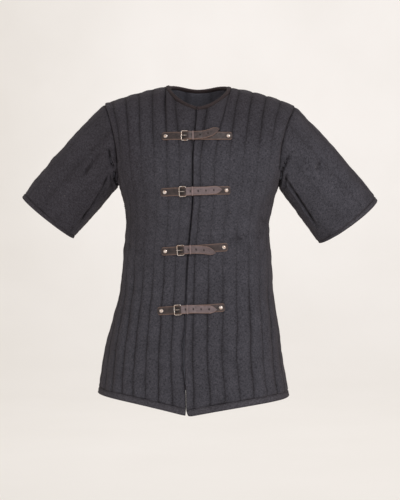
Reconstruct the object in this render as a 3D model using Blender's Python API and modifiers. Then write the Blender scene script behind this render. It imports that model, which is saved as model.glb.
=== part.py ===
"""Gambeson: a padded, quilted jacket with short sleeves, closed down the front by four buckled straps.

The jacket keeps the form it has on a wearer, with nothing inside it. Units are metres, +Z is up, the
front faces -Y and the wearer's left is +X. The origin is the middle of the base of the neck, level with
the neck point of the right shoulder seam.

The whole cloth is first one skin of flat facets. Each panel is then its own stretch of that skin, with a
wall behind it, so the walls of two panels meet in one plane at their seam.
"""

import math
from collections import defaultdict, namedtuple

import bmesh
import bpy
import numpy as np
from mathutils import Matrix, Vector
from mathutils.bvhtree import BVHTree
from mathutils.kdtree import KDTree

# ---------------------------------------------------------------- driving dimensions

WALL = 0.008  # padded cloth, outer face to inner face
SEAM_GAP = 0.0006  # between two panels at a seam
OPENING_GAP = 0.002  # between the two fronts
HEM_BAND = 0.016
CUFF_BAND = 0.012
NECK_BAND = 0.010
ROUNDNESS = 2.3  # exponent of the body's oval sections: 2 is an ellipse, more is boxier
WELD = 1e-5

# Sections of the body, from the hem up to above the chest: half-widths to each side, depths to the
# front and to the back, and where the front opening crosses them.
Section = namedtuple("Section", "height right left front back opening")
BODY = (
    Section(height=-0.850, right=0.262, left=0.240, front=0.176, back=0.168, opening=-0.030),
    Section(height=-0.772, right=0.253, left=0.227, front=0.169, back=0.160, opening=-0.030),
    Section(height=-0.673, right=0.237, left=0.211, front=0.157, back=0.147, opening=-0.035),
    Section(height=-0.590, right=0.217, left=0.200, front=0.146, back=0.133, opening=-0.032),
    Section(height=-0.525, right=0.200, left=0.190, front=0.136, back=0.119, opening=-0.030),
    Section(height=-0.465, right=0.193, left=0.186, front=0.129, back=0.109, opening=-0.028),
    Section(height=-0.397, right=0.187, left=0.181, front=0.127, back=0.105, opening=-0.023),
    Section(height=-0.344, right=0.183, left=0.179, front=0.129, back=0.109, opening=-0.018),
    Section(height=-0.293, right=0.188, left=0.188, front=0.132, back=0.114, opening=-0.014),
    Section(height=-0.250, right=0.201, left=0.201, front=0.132, back=0.117, opening=-0.014),
    Section(height=-0.200, right=0.212, left=0.212, front=0.128, back=0.118, opening=-0.014),
    Section(height=-0.150, right=0.222, left=0.222, front=0.121, back=0.116, opening=-0.014),
)
CHEST_LINE = -0.200  # the armholes turn towards the side seams here

# The two sides of the garment. Pairs are (distance out from the middle, height).
Side = namedtuple("Side", "name sign neck tip armpit cuff_outer cuff_inner tilt hem front_hem swell crown")
SIDES = (
    Side("right", -1, neck=(0.073, 0.000), tip=(0.2366, -0.048), armpit=(0.201, -0.2555),
         cuff_outer=(0.449, -0.283), cuff_inner=(0.319, -0.388), tilt=4.0,
         hem=-0.776, front_hem=-0.815, swell=0.007, crown=0.004),
    Side("left", 1, neck=(0.074, -0.003), tip=(0.244, -0.0550), armpit=(0.201, -0.258),
         cuff_outer=(0.461, -0.288), cuff_inner=(0.312, -0.3990), tilt=12.0,
         hem=-0.784, front_hem=-0.818, swell=0.006, crown=0.008),
)
BACK_HEM = -0.792
HEM_SWEEP = 1.25  # how quickly the hem leaves its lowest point

NECK_OPENING = -0.004  # where the front opening meets the neck
NECK_FRONT = Vector((0.0, -0.090, -0.063))  # middle of the front neck edge
NECK_BACK = Vector((0.0, 0.070, -0.0013))  # middle of the back neck edge
NECK_BACK_STAND = 0.005  # how far the back neck edge stands up between its middle and the neck points
NECK_POINTED = 1.55  # exponent of the front neck curve seen from the front: 1 is a V, 2 an ellipse
BAND_SPREAD = Vector((1.0, 0.55, -0.55))  # way that the neck band widens: out, away from the neck, down

ARMHOLE_DEPTH = {"front": 0.086, "back": 0.080}
ARMHOLE_HOLLOW = 0.002  # how far the armhole's middle lies inside the armpit
ARMHOLE_FLARE = 2.5  # how late the armhole turns out to the shoulder tip
CUFF_HALF_DEPTH = 0.058

# Fractions of the way round a quarter of the body, from the opening or centre back to the side seam.
NECK_CORNER = 2 / 8.2
ARM_CORNER = 0.80
NECK_COLUMNS, SHOULDER_COLUMNS, UNDERARM_COLUMNS = 3, 6, 3
BODY_ROWS, YOKE_ROWS, SLEEVE_ROWS = 13, 7, 6

# ---------------------------------------------------------------- straps and buckles

STRAP_WIDTH = 0.020
LEATHER = 0.0018
CLEAR = 0.0003  # between pieces that touch
REST = 0.0005  # between the cloth's facets and what lies on them
WIRE = 0.0012  # radius of the buckle frame
PRONG = 0.0008  # radius of the prong
PRONG_PAST = 0.0022  # how far the prong's tip passes the end bar
FRAME_REACH = 0.008  # from the frame's middle to its heel bar and to its end bar
FRAME_HALF_HEIGHT = STRAP_WIDTH / 2 + CLEAR + WIRE + 0.0005
FRAME_CORNER = 0.0022
FOLD = 0.024  # how far the chape's fold lies back past the heel bar
STRAP_END = 0.010  # leather past a rivet
KEEPER_WIDTH, KEEPER_THICKNESS = 0.003, 0.0010
RIVET_RADIUS, RIVET_HEIGHT = 0.0046, 0.0024
STRAP_STEP = 0.005

# One row a closure, from the top. Pairs are (x, height) in the front view, and distances run along
# the strap from its right rivet. The tip's rise is across the strap and its lift away from the cloth.
Closure = namedtuple("Closure", "number right_rivet left_rivet buckle keeper tip tip_rise tip_lift")
CLOSURES = (
    Closure(1, (-0.0801, -0.1393), (0.0728, -0.1386), 0.0467, 0.0668, 0.1290, 0.015, 0.006),
    Closure(2, (-0.0815, -0.2765), (0.0677, -0.2721), 0.0433, 0.0672, 0.1380, 0.002, 0.000),
    Closure(3, (-0.0801, -0.4204), (0.0616, -0.4104), 0.0370, 0.0607, 0.1210, -0.012, 0.003),
    Closure(4, (-0.0893, -0.5648), (0.0539, -0.5568), 0.0396, 0.0626, 0.1330, -0.005, 0.001),
)

# ---------------------------------------------------------------- colours (linear), roughness, metal

Finish = namedtuple("Finish", "name colour roughness metallic")
QUILT = Finish("quilted_cloth", (0.052, 0.049, 0.054, 1), 0.95, 0.0)
BINDING = Finish("binding_cloth", (0.030, 0.024, 0.025, 1), 0.9, 0.0)
STRAP = Finish("strap_leather", (0.075, 0.052, 0.046, 1), 0.5, 0.0)
BUCKLE = Finish("buckle_metal", (0.46, 0.42, 0.39, 1), 0.35, 1.0)
RIVET = Finish("rivet_metal", (0.55, 0.47, 0.42, 1), 0.3, 1.0)


# ---------------------------------------------------------------- curves


def smooth(u):
    """0 to 1 with no slope at either end."""
    u = np.clip(u, 0.0, 1.0)
    return u * u * (3 - 2 * u)


def hermite(start, end, leave, arrive, u):
    """The cubic from start to end that leaves and arrives along the given vectors."""
    return (
        start * (2 * u**3 - 3 * u**2 + 1)
        + end * (3 * u**2 - 2 * u**3)
        + leave * (u**3 - 2 * u**2 + u)
        + arrive * (u**3 - u**2)
    )


def through(knots, values, at):
    """The smooth curve through the values at the knots, read at one place."""
    slopes = np.gradient(values, knots)
    i = int(np.clip(np.searchsorted(knots, at) - 1, 0, len(knots) - 2))
    span = knots[i + 1] - knots[i]
    u = (at - knots[i]) / span
    return hermite(values[i], values[i + 1], slopes[i] * span, slopes[i + 1] * span, u)


def power(value, exponent):
    """A power that keeps the sign of its base."""
    return np.sign(value) * np.abs(value) ** exponent


# ---------------------------------------------------------------- the form of the body


def section_at(height):
    knots = np.array([row.height for row in BODY])
    return Section(*(through(knots, np.array(column), height) for column in zip(*BODY)))


def oval(section, face, angle):
    """Point of a section. The angle is 0 at the middle, and a quarter turn at a side seam."""
    half_width = np.where(angle < 0, section.right, section.left)
    depth = -section.front if face == "front" else section.back
    x = half_width * power(np.sin(angle), 2 / ROUNDNESS)
    y = depth * power(np.cos(angle), 2 / ROUNDNESS)
    return np.stack([x, y, np.full_like(x, section.height)], axis=-1)


def body_point(side, face, fraction, height):
    """Point at a fraction of the way round a quarter of the body, from its middle to the side seam."""
    section = section_at(height)
    start = section.opening + side.sign * OPENING_GAP / 2 if face == "front" else 0.0
    half_width = section.right if start < 0 else section.left
    first = np.arcsin(power(start / half_width, ROUNDNESS / 2))
    angles = np.linspace(first, side.sign * math.pi / 2, 97)
    steps = np.linalg.norm(np.diff(oval(section, face, angles), axis=0), axis=1)
    run = np.concatenate([[0], np.cumsum(steps)])
    angle = np.interp(fraction * run[-1], run, angles)
    return oval(section, face, np.array([angle]))[0]


def armhole_point(side, face, angle):
    """Point of the armhole. The angle is 0 at the shoulder tip and a half turn at the armpit."""
    middle = (side.tip[1] + side.armpit[1]) / 2
    reach = (side.tip[1] - side.armpit[1]) / 2
    inner = side.armpit[0] - ARMHOLE_HOLLOW * math.sin(angle)
    x = inner + (side.tip[0] - inner) * ((1 + math.cos(angle)) / 2) ** ARMHOLE_FLARE
    depth = ARMHOLE_DEPTH[face] * (-1 if face == "front" else 1)
    return np.array([side.sign * x, depth * math.sin(angle), middle + reach * math.cos(angle)])


def corner_angle(side):
    """Angle at which the armhole crosses the chest line."""
    middle = (side.tip[1] + side.armpit[1]) / 2
    reach = (side.tip[1] - side.armpit[1]) / 2
    return math.acos((CHEST_LINE - middle) / reach)


def underarm_angle(side, fraction):
    corner = corner_angle(side)
    return corner + (math.pi - corner) * (fraction - ARM_CORNER) / (1 - ARM_CORNER)


def hem_height(side, face, fraction):
    middle = side.front_hem if face == "front" else BACK_HEM
    return side.hem + (middle - side.hem) * (1 - math.sin(fraction * math.pi / 2)) ** HEM_SWEEP


def top_height(side, fraction):
    """Where a column of the body ends: on the chest line, or on the armhole past its corner."""
    if fraction <= ARM_CORNER:
        return CHEST_LINE
    return armhole_point(side, "front", underarm_angle(side, fraction))[2]


def underarm_pull(side, face, fraction):
    """What moves the top of a column so that the body runs into the armhole."""
    held = max(fraction, ARM_CORNER)
    target = armhole_point(side, face, underarm_angle(side, held))
    free = body_point(side, face, held, target[2])
    return (target - free) * smooth((fraction - 0.35) / (ARM_CORNER - 0.35))


def lower_point(side, face, fraction, rise):
    """Point of the body below the chest line. The rise is 0 at the hem and 1 at the column's top."""
    bottom = hem_height(side, face, fraction)
    height = bottom + (top_height(side, fraction) - bottom) * rise
    pull = underarm_pull(side, face, fraction) * smooth((rise - 0.72) / 0.28)
    return body_point(side, face, fraction, height) + pull


def neck_point(side, face, fraction, band):
    """Point of the neck edge, or of the seam below it when band is its width."""
    across, height = side.neck
    if face == "front":
        start = NECK_OPENING + side.sign * OPENING_GAP / 2
        first = math.asin(power(start / across, NECK_POINTED / 2))
    else:
        first = 0.0
    angle = first + (side.sign * math.pi / 2 - first) * fraction
    middle = NECK_FRONT if face == "front" else NECK_BACK
    exponent = 2 / NECK_POINTED if face == "front" else 1.0
    ratio = power(math.sin(angle), exponent)
    drop = math.cos(angle) ** exponent
    ahead = math.sqrt(max(0.0, 1 - ratio * ratio))
    stand = 0.0 if face == "front" else NECK_BACK_STAND * 4 * ratio**2 * (1 - ratio**2)
    edge = np.array([across * ratio, middle.y * ahead, height + (middle.z - height) * drop + stand])
    out = np.array([BAND_SPREAD.x * ratio, math.copysign(BAND_SPREAD.y, middle.y) * ahead,
                    BAND_SPREAD.z * (0.35 + 1.2 * drop if face == "front" else 1.2 * ahead + 0.35)])
    return edge + out / np.linalg.norm(out) * band


def yoke_top(side, face, fraction):
    """Where a column above the chest line ends: on the neck seam or on the shoulder seam."""
    if fraction <= NECK_CORNER:
        return neck_point(side, face, fraction / NECK_CORNER, NECK_BAND)
    along = (fraction - NECK_CORNER) / (ARM_CORNER - NECK_CORNER)
    start = neck_point(side, face, 1.0, NECK_BAND)
    end = np.array([side.sign * side.tip[0], 0.0, side.tip[1]])
    crown = np.array([0.0, 0.0, side.crown * math.sin(math.pi * along)])
    return start + (end - start) * along + crown


def yoke_profile(side, face, fraction, rise):
    """A column above the chest line, before it is drawn to the armhole."""
    start = lower_point(side, face, fraction, 1.0)
    end = yoke_top(side, face, fraction)
    below = lower_point(side, face, fraction, 0.97)
    chord = np.linalg.norm(end - start)
    leave = (start - below) / np.linalg.norm(start - below) * chord
    turn = smooth(fraction / (NECK_CORNER * 1.3))
    back = 1 if face == "front" else -1
    steep = np.array([0.0, 0.40 * back, 0.92])
    level = np.array([0.0, 1.0 * back, 0.16])
    arrive = (steep + (level - steep) * turn) * chord * (1.0 - 0.12 * turn)
    return hermite(start, end, leave, arrive, rise)


def yoke_point(side, face, fraction, rise):
    angle = corner_angle(side) * (1 - rise)
    pull = armhole_point(side, face, angle) - yoke_profile(side, face, ARM_CORNER, rise)
    reach = smooth((fraction - 0.35) / (ARM_CORNER - 0.35))
    return yoke_profile(side, face, fraction, rise) + pull * reach


def cuff_point(side, face, angle):
    """Point of the cuff's edge, at the angle that it has on the armhole."""
    outer = np.array([side.sign * side.cuff_outer[0], 0.0, side.cuff_outer[1]])
    inner = np.array([side.sign * side.cuff_inner[0], 0.0, side.cuff_inner[1]])
    across = (outer - inner) / 2
    down = np.array([across[2] * side.sign, 0.0, -across[0] * side.sign])
    down = down / np.linalg.norm(down)
    tilt = math.radians(side.tilt)
    centre = (outer + inner) / 2
    reach = np.linalg.norm(centre - armhole_point(side, "front", 0.0))
    centre = centre + np.array([0.0, reach * math.sin(tilt), 0.0])
    ahead = np.array([0.0, -math.cos(tilt), 0.0]) + down * math.sin(tilt)
    turn = math.sin(angle) * (1 if face == "front" else -1)
    return centre + across * math.cos(angle) + ahead * CUFF_HALF_DEPTH * turn


def sleeve_point(side, face, angle, along):
    """Point of the sleeve, from the armhole at 0 to the cuff at 1."""
    start = armhole_point(side, face, angle)
    end = cuff_point(side, face, angle)
    up = np.array([side.sign * 0.75, 0.0, 0.66])
    swell = side.swell * max(0.0, math.cos(angle)) * math.sin(math.pi * along) ** 0.6
    return start + (end - start) * along + up * swell


def finished(name, bm):
    """A mesh of triangles from a closed bmesh, turned so that its faces point out."""
    bmesh.ops.triangulate(bm, faces=bm.faces[:])
    if bm.calc_volume(signed=True) < 0:
        bmesh.ops.reverse_faces(bm, faces=bm.faces[:])
    mesh = bpy.data.meshes.new(name)
    bm.to_mesh(mesh)
    bm.free()
    return mesh


# ---------------------------------------------------------------- the skin


def spread(first, last, steps):
    return [first + (last - first) * i / steps for i in range(steps + 1)]


NECK_FRACTIONS = spread(0.0, NECK_CORNER, NECK_COLUMNS)
YOKE_FRACTIONS = NECK_FRACTIONS + spread(NECK_CORNER, ARM_CORNER, SHOULDER_COLUMNS)[1:]
BODY_FRACTIONS = YOKE_FRACTIONS + spread(ARM_CORNER, 1.0, UNDERARM_COLUMNS)[1:]


class Skin:
    """All the cloth as quads that share their points, each quad in a named panel."""

    def __init__(self):
        self.points = []
        self.faces = []
        self.panels = []

    def add_grid(self, panel, rows, inside):
        """Adds a grid of points as quads that face away from a point inside the hollow."""
        first = len(self.points)
        width = len(rows[0])
        self.points += [np.asarray(point, float) for row in rows for point in row]
        for i in range(len(rows) - 1):
            for j in range(width - 1):
                corner = first + i * width + j
                quad = [corner, corner + 1, corner + width + 1, corner + width]
                corners = np.array([self.points[k] for k in quad])
                normal = np.cross(corners[2] - corners[0], corners[3] - corners[1])
                if normal @ (corners.mean(axis=0) - inside) < 0:
                    quad.reverse()
                self.faces.append(quad)
                self.panels.append(panel)

    def weld(self):
        """Makes points that lie on each other one point, and reads off the normals and the edges."""
        tree = KDTree(len(self.points))
        for index, point in enumerate(self.points):
            tree.insert(point, index)
        tree.balance()
        first = [min(hit[1] for hit in tree.find_range(point, WELD)) for point in self.points]
        self.faces = [[first[k] for k in quad] for quad in self.faces]
        self.points = np.array(self.points)
        self.normals = np.zeros_like(self.points)
        self.edge_panels = defaultdict(set)
        for quad, panel in zip(self.faces, self.panels):
            corners = self.points[quad]
            self.normals[quad] += np.cross(corners[2] - corners[0], corners[3] - corners[1])
            for pair in zip(quad, quad[1:] + quad[:1]):
                self.edge_panels[frozenset(pair)].add(panel)
        lengths = np.linalg.norm(self.normals, axis=1, keepdims=True)
        self.normals /= np.where(lengths > 0, lengths, 1)

    def half_gap(self, edge):
        """How far a panel stays back from one of its border edges."""
        return SEAM_GAP / 2 if len(self.edge_panels[frozenset(edge)]) > 1 else 0.0

    def border_shifts(self, quads):
        """The border edges of a panel, and the moves that take its points back from its seams."""
        counts = defaultdict(list)
        for quad in quads:
            for pair in zip(quad, quad[1:] + quad[:1]):
                counts[frozenset(pair)].append((pair, quad))
        border = [uses[0] for uses in counts.values() if len(uses) == 1]
        pulls = defaultdict(list)
        for (a, b), quad in border:
            along = self.points[b] - self.points[a]
            inward = self.points[quad].mean(axis=0) - self.points[a]
            inward -= along * (inward @ along) / (along @ along)
            inward /= np.linalg.norm(inward)
            for point in (a, b):
                pulls[point].append((inward, self.half_gap((a, b))))
        shifts = {}
        for point, rows in pulls.items():
            ways = np.array([way for way, _ in rows])
            gaps = np.array([gap for _, gap in rows])
            shifts[point] = np.linalg.pinv(ways, rcond=0.25) @ gaps
        return [pair for pair, _ in border], shifts

    def panel_mesh(self, panel):
        """A closed wall: the panel's outer quads, the same moved in, and a rim round its border."""
        quads = [quad for quad, name in zip(self.faces, self.panels) if name == panel]
        border, shifts = self.border_shifts(quads)
        used = sorted({k for quad in quads for k in quad})
        bm = bmesh.new()
        outer, inner = {}, {}
        for k in used:
            point = self.points[k] + shifts.get(k, 0.0)
            outer[k] = bm.verts.new(point)
            inner[k] = bm.verts.new(point - self.normals[k] * WALL)
        for quad in quads:
            bm.faces.new([outer[k] for k in quad])
            bm.faces.new([inner[k] for k in reversed(quad)])
        for a, b in border:
            bm.faces.new([outer[b], outer[a], inner[a], inner[b]])
        return finished(panel, bm)


def body_quarter(skin, side, face):
    """One quarter of the body, from the hem to the neck and shoulder seams, with its share of the bands."""
    panel = f"front_{side.name}" if face == "front" else "back"
    inside = np.array([0.0, 0.0, -0.30])
    band = HEM_BAND / (CHEST_LINE - BACK_HEM)
    rises = [0.0] + spread(band, 1.0, BODY_ROWS)
    lower = [[lower_point(side, face, f, rise) for f in BODY_FRACTIONS] for rise in rises]
    skin.add_grid("hem_band", lower[:2], inside)
    skin.add_grid(panel, lower[1:], inside)
    upper = [[yoke_point(side, face, f, rise) for f in YOKE_FRACTIONS] for rise in spread(0, 1, YOKE_ROWS)]
    skin.add_grid(panel, upper, np.array([0.0, 0.0, -0.20]))
    neck = [[neck_point(side, face, f / NECK_CORNER, width) for f in NECK_FRACTIONS]
            for width in (NECK_BAND, 0.0)]
    skin.add_grid("neck_binding", neck, np.array([0.0, 0.0, -0.10]))


def sleeve_half(skin, side, face):
    """The front or back half of a sleeve, with its share of the cuff band."""
    angles = [corner_angle(side) * (1 - rise) for rise in reversed(spread(0, 1, YOKE_ROWS))]
    angles += [underarm_angle(side, f) for f in BODY_FRACTIONS[len(YOKE_FRACTIONS):]]
    length = np.linalg.norm(cuff_point(side, face, 0.0) - armhole_point(side, face, 0.0))
    rings = spread(0.0, 1 - CUFF_BAND / length, SLEEVE_ROWS) + [1.0]
    grid = [[sleeve_point(side, face, angle, along) for angle in angles] for along in rings]
    axis = (armhole_point(side, "front", 0) + armhole_point(side, "front", math.pi)) / 2
    tip = (cuff_point(side, "front", 0) + cuff_point(side, "front", math.pi)) / 2
    skin.add_grid(f"sleeve_{side.name}", grid[:-1], (axis + tip) / 2)
    skin.add_grid(f"cuff_band_{side.name}", grid[-2:], tip)


def cloth_skin():
    skin = Skin()
    for side in SIDES:
        for face in ("front", "back"):
            body_quarter(skin, side, face)
            sleeve_half(skin, side, face)
    skin.weld()
    return skin


# ---------------------------------------------------------------- straps on the cloth


class StrapLine:
    """Places on the cloth along one closure: distance along the strap, across it, and away from it."""

    SAMPLE = 0.002
    BLUR = 7

    def __init__(self, closure, skin):
        tree = BVHTree.FromPolygons([Vector(p) for p in skin.points], skin.faces)
        start = np.array(closure.right_rivet)
        end = np.array(closure.left_rivet)
        self.length = float(np.linalg.norm(end - start))
        way = (end - start) / self.length
        self.stations = np.arange(-0.02, self.length + 0.02, self.SAMPLE)

        def cloth(offset):
            """The fronts' surface along the strap, carried straight across the gap between them."""
            flat = start + way * self.stations[:, None] + np.array([-way[1], way[0]]) * offset
            hits = [tree.ray_cast(Vector((x, -1.0, z)), Vector((0, 1, 0)))[0] for x, z in flat]
            depths = np.array([hit.y for hit in hits])
            front = depths < 0
            depths = np.interp(self.stations, self.stations[front], depths[front])
            return np.stack([flat[:, 0], depths, flat[:, 1]], axis=1)

        kernel = np.ones(self.BLUR) / self.BLUR
        pad = self.BLUR // 2

        def blurred(rows):
            padded = np.pad(rows, ((pad, pad), (0, 0)), mode="reflect", reflect_type="odd")
            return np.stack([np.convolve(column, kernel, "valid") for column in padded.T], axis=1)

        reach = STRAP_WIDTH / 2
        raw, above, below = cloth(0.0), cloth(reach), cloth(-reach)
        self.line = blurred(raw)
        self.line[:, 1] -= np.max(self.line[:, 1] - np.minimum(raw[:, 1], (above + below)[:, 1] / 2))
        up = blurred(above) - blurred(below)
        self.up = up / np.linalg.norm(up, axis=1, keepdims=True)
        tangent = np.gradient(self.line, axis=0)
        normal = np.cross(tangent, self.up)
        self.out = normal / np.linalg.norm(normal, axis=1, keepdims=True)
        self.out *= -np.sign(self.out[:, 1:2])

    def read(self, rows, s):
        return np.array([np.interp(s, self.stations, column) for column in rows.T])

    def place(self, s, t=0.0, h=0.0):
        """The point s along the strap, t across it and h away from the cloth."""
        return self.read(self.line, s) + self.read(self.up, s) * t + self.read(self.out, s) * (h + REST)

    def matrix(self, s, h):
        """Axes at a place: X along the strap, Y across it and Z away from the cloth."""
        out = Vector(self.read(self.out, s)).normalized()
        up = Vector(self.read(self.up, s))
        along = up.cross(out).normalized()
        turn = Matrix((along, out.cross(along), out)).transposed()
        return Matrix.Translation(Vector(self.place(s, 0.0, h))) @ turn.to_4x4()


def leather_heights():
    """Heights of the leather's middle over the cloth, from which straps, bars and prong are worked out."""
    layer = LEATHER / 2
    bar = LEATHER + CLEAR + WIRE
    wrap = WIRE + CLEAR + layer
    return layer, bar, wrap, LEATHER + CLEAR + layer


def tongue_path(closure):
    """(along, across, away) down the middle of the tongue, and its half-width at each place."""
    flat, bar, wrap, second = leather_heights()
    heel = closure.buckle + FRAME_REACH
    over_bar = bar + wrap + LEATHER + CLEAR
    over_fold = second + LEATHER + CLEAR
    last = closure.tip
    path = []
    for s in spread(-STRAP_END, last, round((last + STRAP_END) / STRAP_STEP * 2)):
        climb = smooth((s - closure.buckle + 0.006) / 0.013)
        settle = smooth((s - heel - 0.001) / 0.009)
        drop = smooth((s - heel - FOLD - 0.002) / 0.010)
        h = flat + (over_bar - flat) * climb + (over_fold - over_bar) * settle
        h += (second - over_fold) * drop
        loose = max(0.0, s - closure.keeper) / (last - closure.keeper)
        across = closure.tip_rise * loose**2
        path.append((s, across, h + closure.tip_lift * loose**3))
    widths = []
    for s, _, _ in path:
        point = min(1.0, 0.22 + (last - s) / 0.013)
        rounded = min(1.0, 0.55 + (s + STRAP_END) / 0.008)
        widths.append(STRAP_WIDTH / 2 * min(point, rounded))
    return path, widths


def chape_path(closure, length):
    """(along, across, away) down the chape: in from the left rivet, round the heel bar, and back."""
    flat, bar, wrap, second = leather_heights()
    heel = closure.buckle + FRAME_REACH
    end = length + STRAP_END
    path = [(s, 0.0, flat) for s in spread(end, heel, round((end - heel) / STRAP_STEP / 1.5))]
    for angle in spread(-90, -270, 8)[1:]:
        turn = math.radians(angle)
        path.append((heel + wrap * math.cos(turn), 0.0, bar + wrap * math.sin(turn)))
    for s in spread(0.002, FOLD, 8):
        path.append((heel + s, 0.0, bar + wrap + (second - bar - wrap) * smooth(s / 0.010)))
    widths = [STRAP_WIDTH / 2 * min(1.0, 0.6 + (end - s) / 0.010) if h == flat else STRAP_WIDTH / 2
              for s, _, h in path]
    return path, widths


def ribbon(line, name, path, widths, thickness):
    """A closed ribbon of leather along a path."""
    flat = np.array([(s, h) for s, _, h in path])
    ways = np.gradient(flat, axis=0)
    ways /= np.linalg.norm(ways, axis=1, keepdims=True)
    bm = bmesh.new()
    rings = []
    for (s, across, h), (ds, dh), half in zip(path, ways, widths):
        ring = []
        for t, lift in ((-half, -1), (half, -1), (half, 1), (-half, 1)):
            offset = lift * thickness / 2
            ring.append(bm.verts.new(line.place(s - dh * offset, across + t, h + ds * offset)))
        rings.append(ring)
    for a, b in zip(rings, rings[1:]):
        for i in range(4):
            j = (i + 1) % 4
            bm.faces.new([a[i], a[j], b[j], b[i]])
    bm.faces.new(list(reversed(rings[0])))
    bm.faces.new(rings[-1])
    return finished(name, bm)


def cutter_box(name, matrix, size, collection):
    """A box for a Boolean, with its axes along the strap, across it and away from it."""
    bm = bmesh.new()
    bmesh.ops.create_cube(bm, size=1.0, matrix=matrix @ Matrix.Diagonal((*size, 1.0)))
    mesh = bpy.data.meshes.new(name)
    bm.to_mesh(mesh)
    bm.free()
    cutter = bpy.data.objects.new(name, mesh)
    cutter.hide_render = True
    cutter.display_type = "WIRE"
    collection.objects.link(cutter)
    return cutter


def cut(piece, cutter):
    modifier = piece.modifiers.new("slot", "BOOLEAN")
    modifier.object = cutter
    modifier.operation = "DIFFERENCE"


def wire(name, points, radius, cyclic, collection):
    """A round wire along points."""
    curve = bpy.data.curves.new(name, "CURVE")
    curve.dimensions = "3D"
    curve.bevel_depth = radius
    curve.bevel_resolution = 1
    curve.use_fill_caps = not cyclic
    spline = curve.splines.new("POLY")
    spline.points.add(len(points) - 1)
    for target, point in zip(spline.points, points):
        target.co = (*point, 1.0)
    spline.use_cyclic_u = cyclic
    piece = bpy.data.objects.new(name, curve)
    collection.objects.link(piece)
    return piece


def frame_points(line, closure):
    """The buckle frame's middle line: an oblong with round corners, level over the cloth."""
    _, bar, _, _ = leather_heights()
    corner = FRAME_CORNER
    points = []
    for quarter in range(4):
        sx = 1 if quarter in (0, 3) else -1
        sy = 1 if quarter < 2 else -1
        for angle in spread(90 * quarter, 90 * (quarter + 1), 3):
            turn = math.radians(angle)
            s = sx * (FRAME_REACH - corner) + corner * math.cos(turn)
            t = sy * (FRAME_HALF_HEIGHT - corner) + corner * math.sin(turn)
            points.append(line.place(closure.buckle + s, t, bar))
    return points


def prong_points(line, closure):
    """The prong: an eye round the heel bar, then straight to rest over the end bar."""
    _, bar, _, _ = leather_heights()
    heel, end = closure.buckle + FRAME_REACH, closure.buckle - FRAME_REACH
    eye = WIRE + 2 * CLEAR + PRONG
    points = []
    for angle in spread(-150, 130, 9):
        turn = math.radians(angle)
        points.append(line.place(heel + eye * math.cos(turn), 0.0, bar + eye * math.sin(turn)))
    points.append(line.place(end, 0.0, bar + eye))
    points.append(line.place(end - PRONG_PAST, 0.0, bar + eye))
    return points


def keeper_mesh(line, closure):
    """A band over the tongue whose ends go down beside the chape, where they are sewn in."""
    _, _, _, second = leather_heights()
    top = second + LEATHER + CLEAR + LEATHER / 2 + CLEAR
    side = STRAP_WIDTH / 2 + CLEAR
    foot = CLEAR
    outline = ((side, foot), (side, top), (-side, top), (-side, foot),
               (-side - KEEPER_THICKNESS, foot), (-side - KEEPER_THICKNESS, top + KEEPER_THICKNESS),
               (side + KEEPER_THICKNESS, top + KEEPER_THICKNESS), (side + KEEPER_THICKNESS, foot))
    bm = bmesh.new()
    ends = []
    for s in (closure.keeper - KEEPER_WIDTH / 2, closure.keeper + KEEPER_WIDTH / 2):
        ends.append([bm.verts.new(line.place(s, t, h)) for t, h in outline])
    count = len(outline)
    for i in range(count):
        j = (i + 1) % count
        bm.faces.new([ends[0][i], ends[0][j], ends[1][j], ends[1][i]])
    for leg in ((0, 1, 6, 7), (1, 2, 5, 6), (2, 3, 4, 5)):
        bm.faces.new([ends[0][k] for k in reversed(leg)])
        bm.faces.new([ends[1][k] for k in leg])
    return finished(f"keeper_{closure.number}", bm)


def rivet(name, matrix, collection):
    """A domed head, turned from its profile."""
    profile = [(0.0, RIVET_HEIGHT)]
    for angle in spread(70, 10, 3):
        turn = math.radians(angle)
        profile.append((RIVET_RADIUS * math.cos(turn), RIVET_HEIGHT * math.sin(turn)))
    profile += [(RIVET_RADIUS, 0.0), (0.0, 0.0)]
    mesh = bpy.data.meshes.new(name)
    edges = [(i, i + 1) for i in range(len(profile) - 1)]
    mesh.from_pydata([(r, 0.0, z) for r, z in profile], edges, [])
    head = bpy.data.objects.new(name, mesh)
    screw = head.modifiers.new("turn", "SCREW")
    screw.steps = screw.render_steps = 14
    screw.use_merge_vertices = True
    screw.merge_threshold = 0.0001
    head.matrix_world = matrix
    collection.objects.link(head)
    return head


# ---------------------------------------------------------------- making the objects


def clear_scene():
    for obj in list(bpy.data.objects):
        bpy.data.objects.remove(obj)


def new_collection(name):
    collection = bpy.data.collections.new(name)
    bpy.context.scene.collection.children.link(collection)
    return collection


def dress(piece, finish):
    """Gives a piece a material of its own."""
    material = bpy.data.materials.new(f"{finish.name}_{piece.name}")
    material.use_nodes = True
    shader = material.node_tree.nodes["Principled BSDF"]
    shader.inputs["Base Color"].default_value = finish.colour
    shader.inputs["Roughness"].default_value = finish.roughness
    shader.inputs["Metallic"].default_value = finish.metallic
    piece.data.materials.append(material)


def place_mesh(mesh, collection):
    piece = bpy.data.objects.new(mesh.name, mesh)
    collection.objects.link(piece)
    return piece


def make_cloth(skin, collection):
    for panel in sorted(set(skin.panels)):
        piece = place_mesh(skin.panel_mesh(panel), collection)
        piece.data.shade_smooth()
        dress(piece, QUILT if panel.startswith(("front", "back", "sleeve")) else BINDING)


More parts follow.
